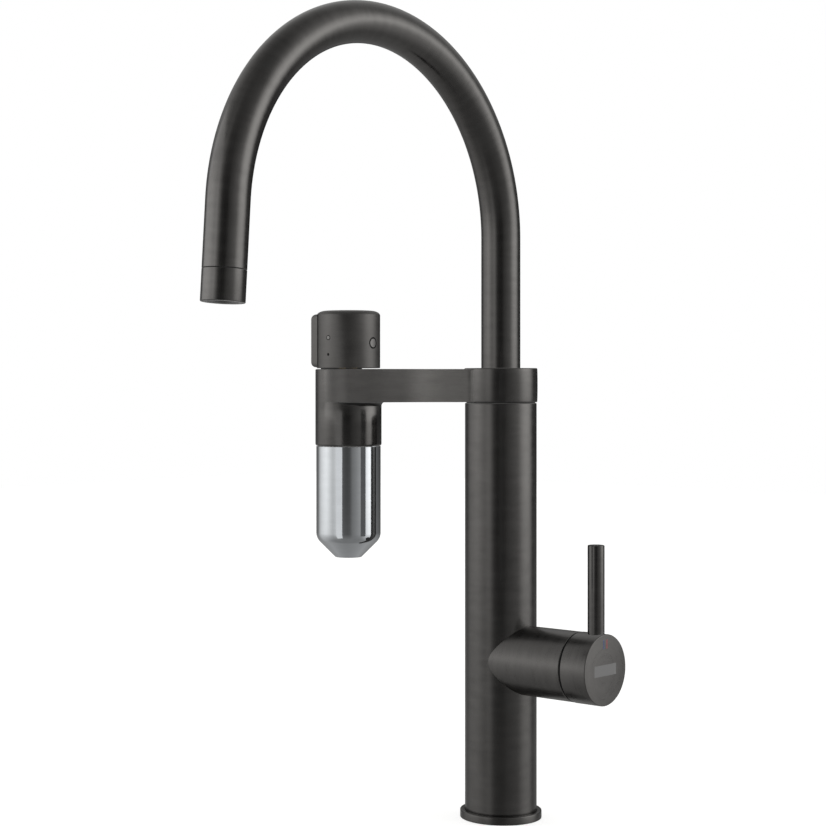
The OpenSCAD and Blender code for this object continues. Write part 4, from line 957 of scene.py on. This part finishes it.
def stop_plate():
    """Thin plate under the knob, with a straight side where the knob's turn begins."""
    edge_x, r, low, high = -7.6, 17.0, BAR_TOP + 0.03, KNOB_Z - 0.03
    reach = math.acos(edge_x / r)
    plan = [(r * math.cos(t), r * math.sin(t)) for t in (reach * (2 * i / 60 - 1) for i in range(61))]
    n = len(plan)
    verts = [(x, y, low) for x, y in plan] + [(x, y, high) for x, y in plan]
    faces = [[i, (i + 1) % n, n + (i + 1) % n, n + i] for i in range(n)]
    faces += [list(reversed(range(n))), list(range(n, 2 * n))]
    return add_mesh("knob_stop_plate", verts, faces, HOLDER, uvs=[(x * MM, y * MM) for x, y, _ in verts])


piece(knob_piece(), "knob", "black_matt", "black_matt", "filter_knob")
piece(grip_piece(), "knob", "black_matt", "black_matt", "knob_grip")
# Directions of the marks, as angles from +X
WIDE_TURN, SMALL_TURN = math.radians(3.1), math.radians(-86.7)
WIDE_Z, SMALL_Z, DOT_Z = 291.2, 294.4, 284.2
knob_mark("wide_ring_mark", WIDE_TURN, WIDE_Z, 3.55, 2.6, "dark_mark", "dark_mark")
knob_mark("wide_ring_button", WIDE_TURN, WIDE_Z, 2.6, 0, "grey_mark", "button")
knob_mark("small_ring_mark", SMALL_TURN, SMALL_Z, 1.5, 1.05, "dark_mark", "dark_mark")
knob_mark("small_ring_button", SMALL_TURN, SMALL_Z, 1.05, 0, "grey_mark", "button")
knob_mark("dot_mark", SMALL_TURN, DOT_Z, 0.85, 0, "dark_mark", "dark_mark")
# The stop plate is near black: painted shade in the gap between bar and knob
piece(stop_plate(), "arm", "black_satin", "dark_mark")


# Capsule


def turned_corner(r, z, corner, start, end, steps):
    """Outline of a rounded corner round (r, z), between two angles below the horizontal."""
    turns = [math.radians(start + (end - start) * k / steps) for k in range(steps + 1)]
    return [(r + corner * math.cos(t), z - corner * math.sin(t)) for t in turns]


def capsule_piece():
    """Capsule: a thin shell with a conical bottom, a large rounding above the cone and a small one below."""
    large, small, wall_foot = 8.0, 0.7, CAPSULE_TIP + 1.2
    shoulder = CAPSULE_TIP + CAPSULE_R - CAPSULE_TIP_R
    half = math.tan(math.radians(22.5))
    profile = [(18.4, CAPSULE_TOP - 0.2), (19.4, CAPSULE_TOP), (CAPSULE_R, CAPSULE_TOP), (CAPSULE_R, 215),
               (CAPSULE_R, 195)]
    profile += turned_corner(CAPSULE_R - large, shoulder + large * half, large, 0, 45, 12)
    profile += turned_corner(CAPSULE_TIP_R - small * half, CAPSULE_TIP + small, small, 45, 90, 6)
    profile += [(0, CAPSULE_TIP), (0, wall_foot), (7.5, wall_foot), (18.5, shoulder + 1.0), (18.5, 224.0)]
    return lathe("capsule_body", profile, 200, HOLDER)


piece(capsule_piece(), "capsule", "brushed_capsule", "brushed_capsule", "capsule_shell")


# Handle: cap and lever, and a near-black ring in the gap between housing and cap, a painted shadow

# The ring in the gap is near black: a painted shadow where the gap is in shade, not a seal
gap_shadow_bore, gap_shadow_back, gap_shadow_face = 17.6, HOUSING_END + 0.01, 59.3
gap_shadow_profile = [(gap_shadow_bore, gap_shadow_back), (20.7, gap_shadow_back), (20.6, gap_shadow_face), (gap_shadow_bore, gap_shadow_face)]
piece(lathe("cap_gap_painted_shadow", gap_shadow_profile, 160, VALVE), "column", "rubber", "dark_mark")

cap_profile = rounded(
    [(CAP_BORE, CAP_BACK), (CAP_BORE, CAP_FLOOR), (0.0, CAP_FLOOR), (0.0, CAP_FACE), (CAP_R, CAP_FACE),
     (CAP_R, CAP_BACK)],
    [0.15, 0, 0, 0, 0.5, 0.3])
piece(lathe("lever_cap", cap_profile, 180, VALVE), "lever", "black_satin", "black_housing", "handle_cap")

lever_profile = rounded(
    [(0, LEVER_FOOT), (LEVER_R, LEVER_FOOT), (LEVER_R, LEVER_TOP), (0, LEVER_TOP)], [0, 0.2, 0.6, 0])
lever_rod = lathe("lever_rod", lever_profile, 96, Matrix.Translation((LEVER_AT, 0, 0)))
piece(lever_rod, "lever", "black_satin", "black_satin", "handle_lever")


# Cards of the studio that only mirrors see


def only_mirrored(ob, level, reach, fade=0.002, clear=False):
    """A stage piece that only shows in mirrors less than reach metres away.

    level is its own light; a clear one adds that to what is behind it.
    """
    mat, tree, bsdf = new_material(ob.name)
    glass = node(tree, "BsdfTransparent").outputs[0]
    if clear:
        lamp = node(tree, "Emission")
        lamp.inputs["Strength"].default_value = level
        both = node(tree, "AddShader")
        tree.links.new(lamp.outputs[0], both.inputs[0])
        tree.links.new(glass, both.inputs[1])
        shown = both.outputs[0]
    else:
        bsdf.inputs["Base Color"].default_value = (0, 0, 0, 1)
        bsdf.inputs["Roughness"].default_value = 0.3
        bsdf.inputs["Metallic"].default_value = 0.9
        bsdf.inputs["Emission Color"].default_value = (1, 1, 1, 1)
        bsdf.inputs["Emission Strength"].default_value = level
        shown = bsdf.outputs[0]
    length = node(tree, "LightPath").outputs["Ray Length"]
    far = remap(tree, length, 0.0, 1.0, reach - fade, reach + fade)
    shown_through(tree, far, shown, glass)
    ob.data.materials.append(mat)
    ob.visible_camera = ob.visible_diffuse = ob.visible_shadow = ob.visible_transmission = False


def card(name, start, end, low, high):
    """An upright card between two plan points and two heights, in millimetres.

    A plan point is (how far to the right of the column, how far towards the camera).
    """
    (a, b), (c, d) = start, end
    corners = [(a, -b, low), (c, -d, low), (c, -d, high), (a, -b, high)]
    return add_mesh(name, corners, [[0, 1, 2, 3]], Matrix.Rotation(VIEW_TURN, 4, "Z"), smooth=False)


# A flag and a reflector beside the capsule, and a soft light on the left, close to the spout's end
only_mirrored(card("flag", (-15.3, 95.9), (8.2, 66.0), 140, 285), 0.12, 0.5)
only_mirrored(card("reflector", (-171.6, 93.6), (-136.4, 116.7), 100, 285), 0.9, 0.15)
only_mirrored(card("near_light", (-420, 0), (-420, 440), 290, 620), 0.6, 0.40, 0.06, clear=True)

# Mirrors show the studio, and only these pieces besides
IN_MIRRORS = ("column_tube", "valve_housing_tube", "flag", "reflector", "near_light", "base_flange", "floor")
for ob in bpy.context.scene.objects:
    if ob.type == "MESH" and ob.name not in IN_MIRRORS:
        ob.visible_glossy = False
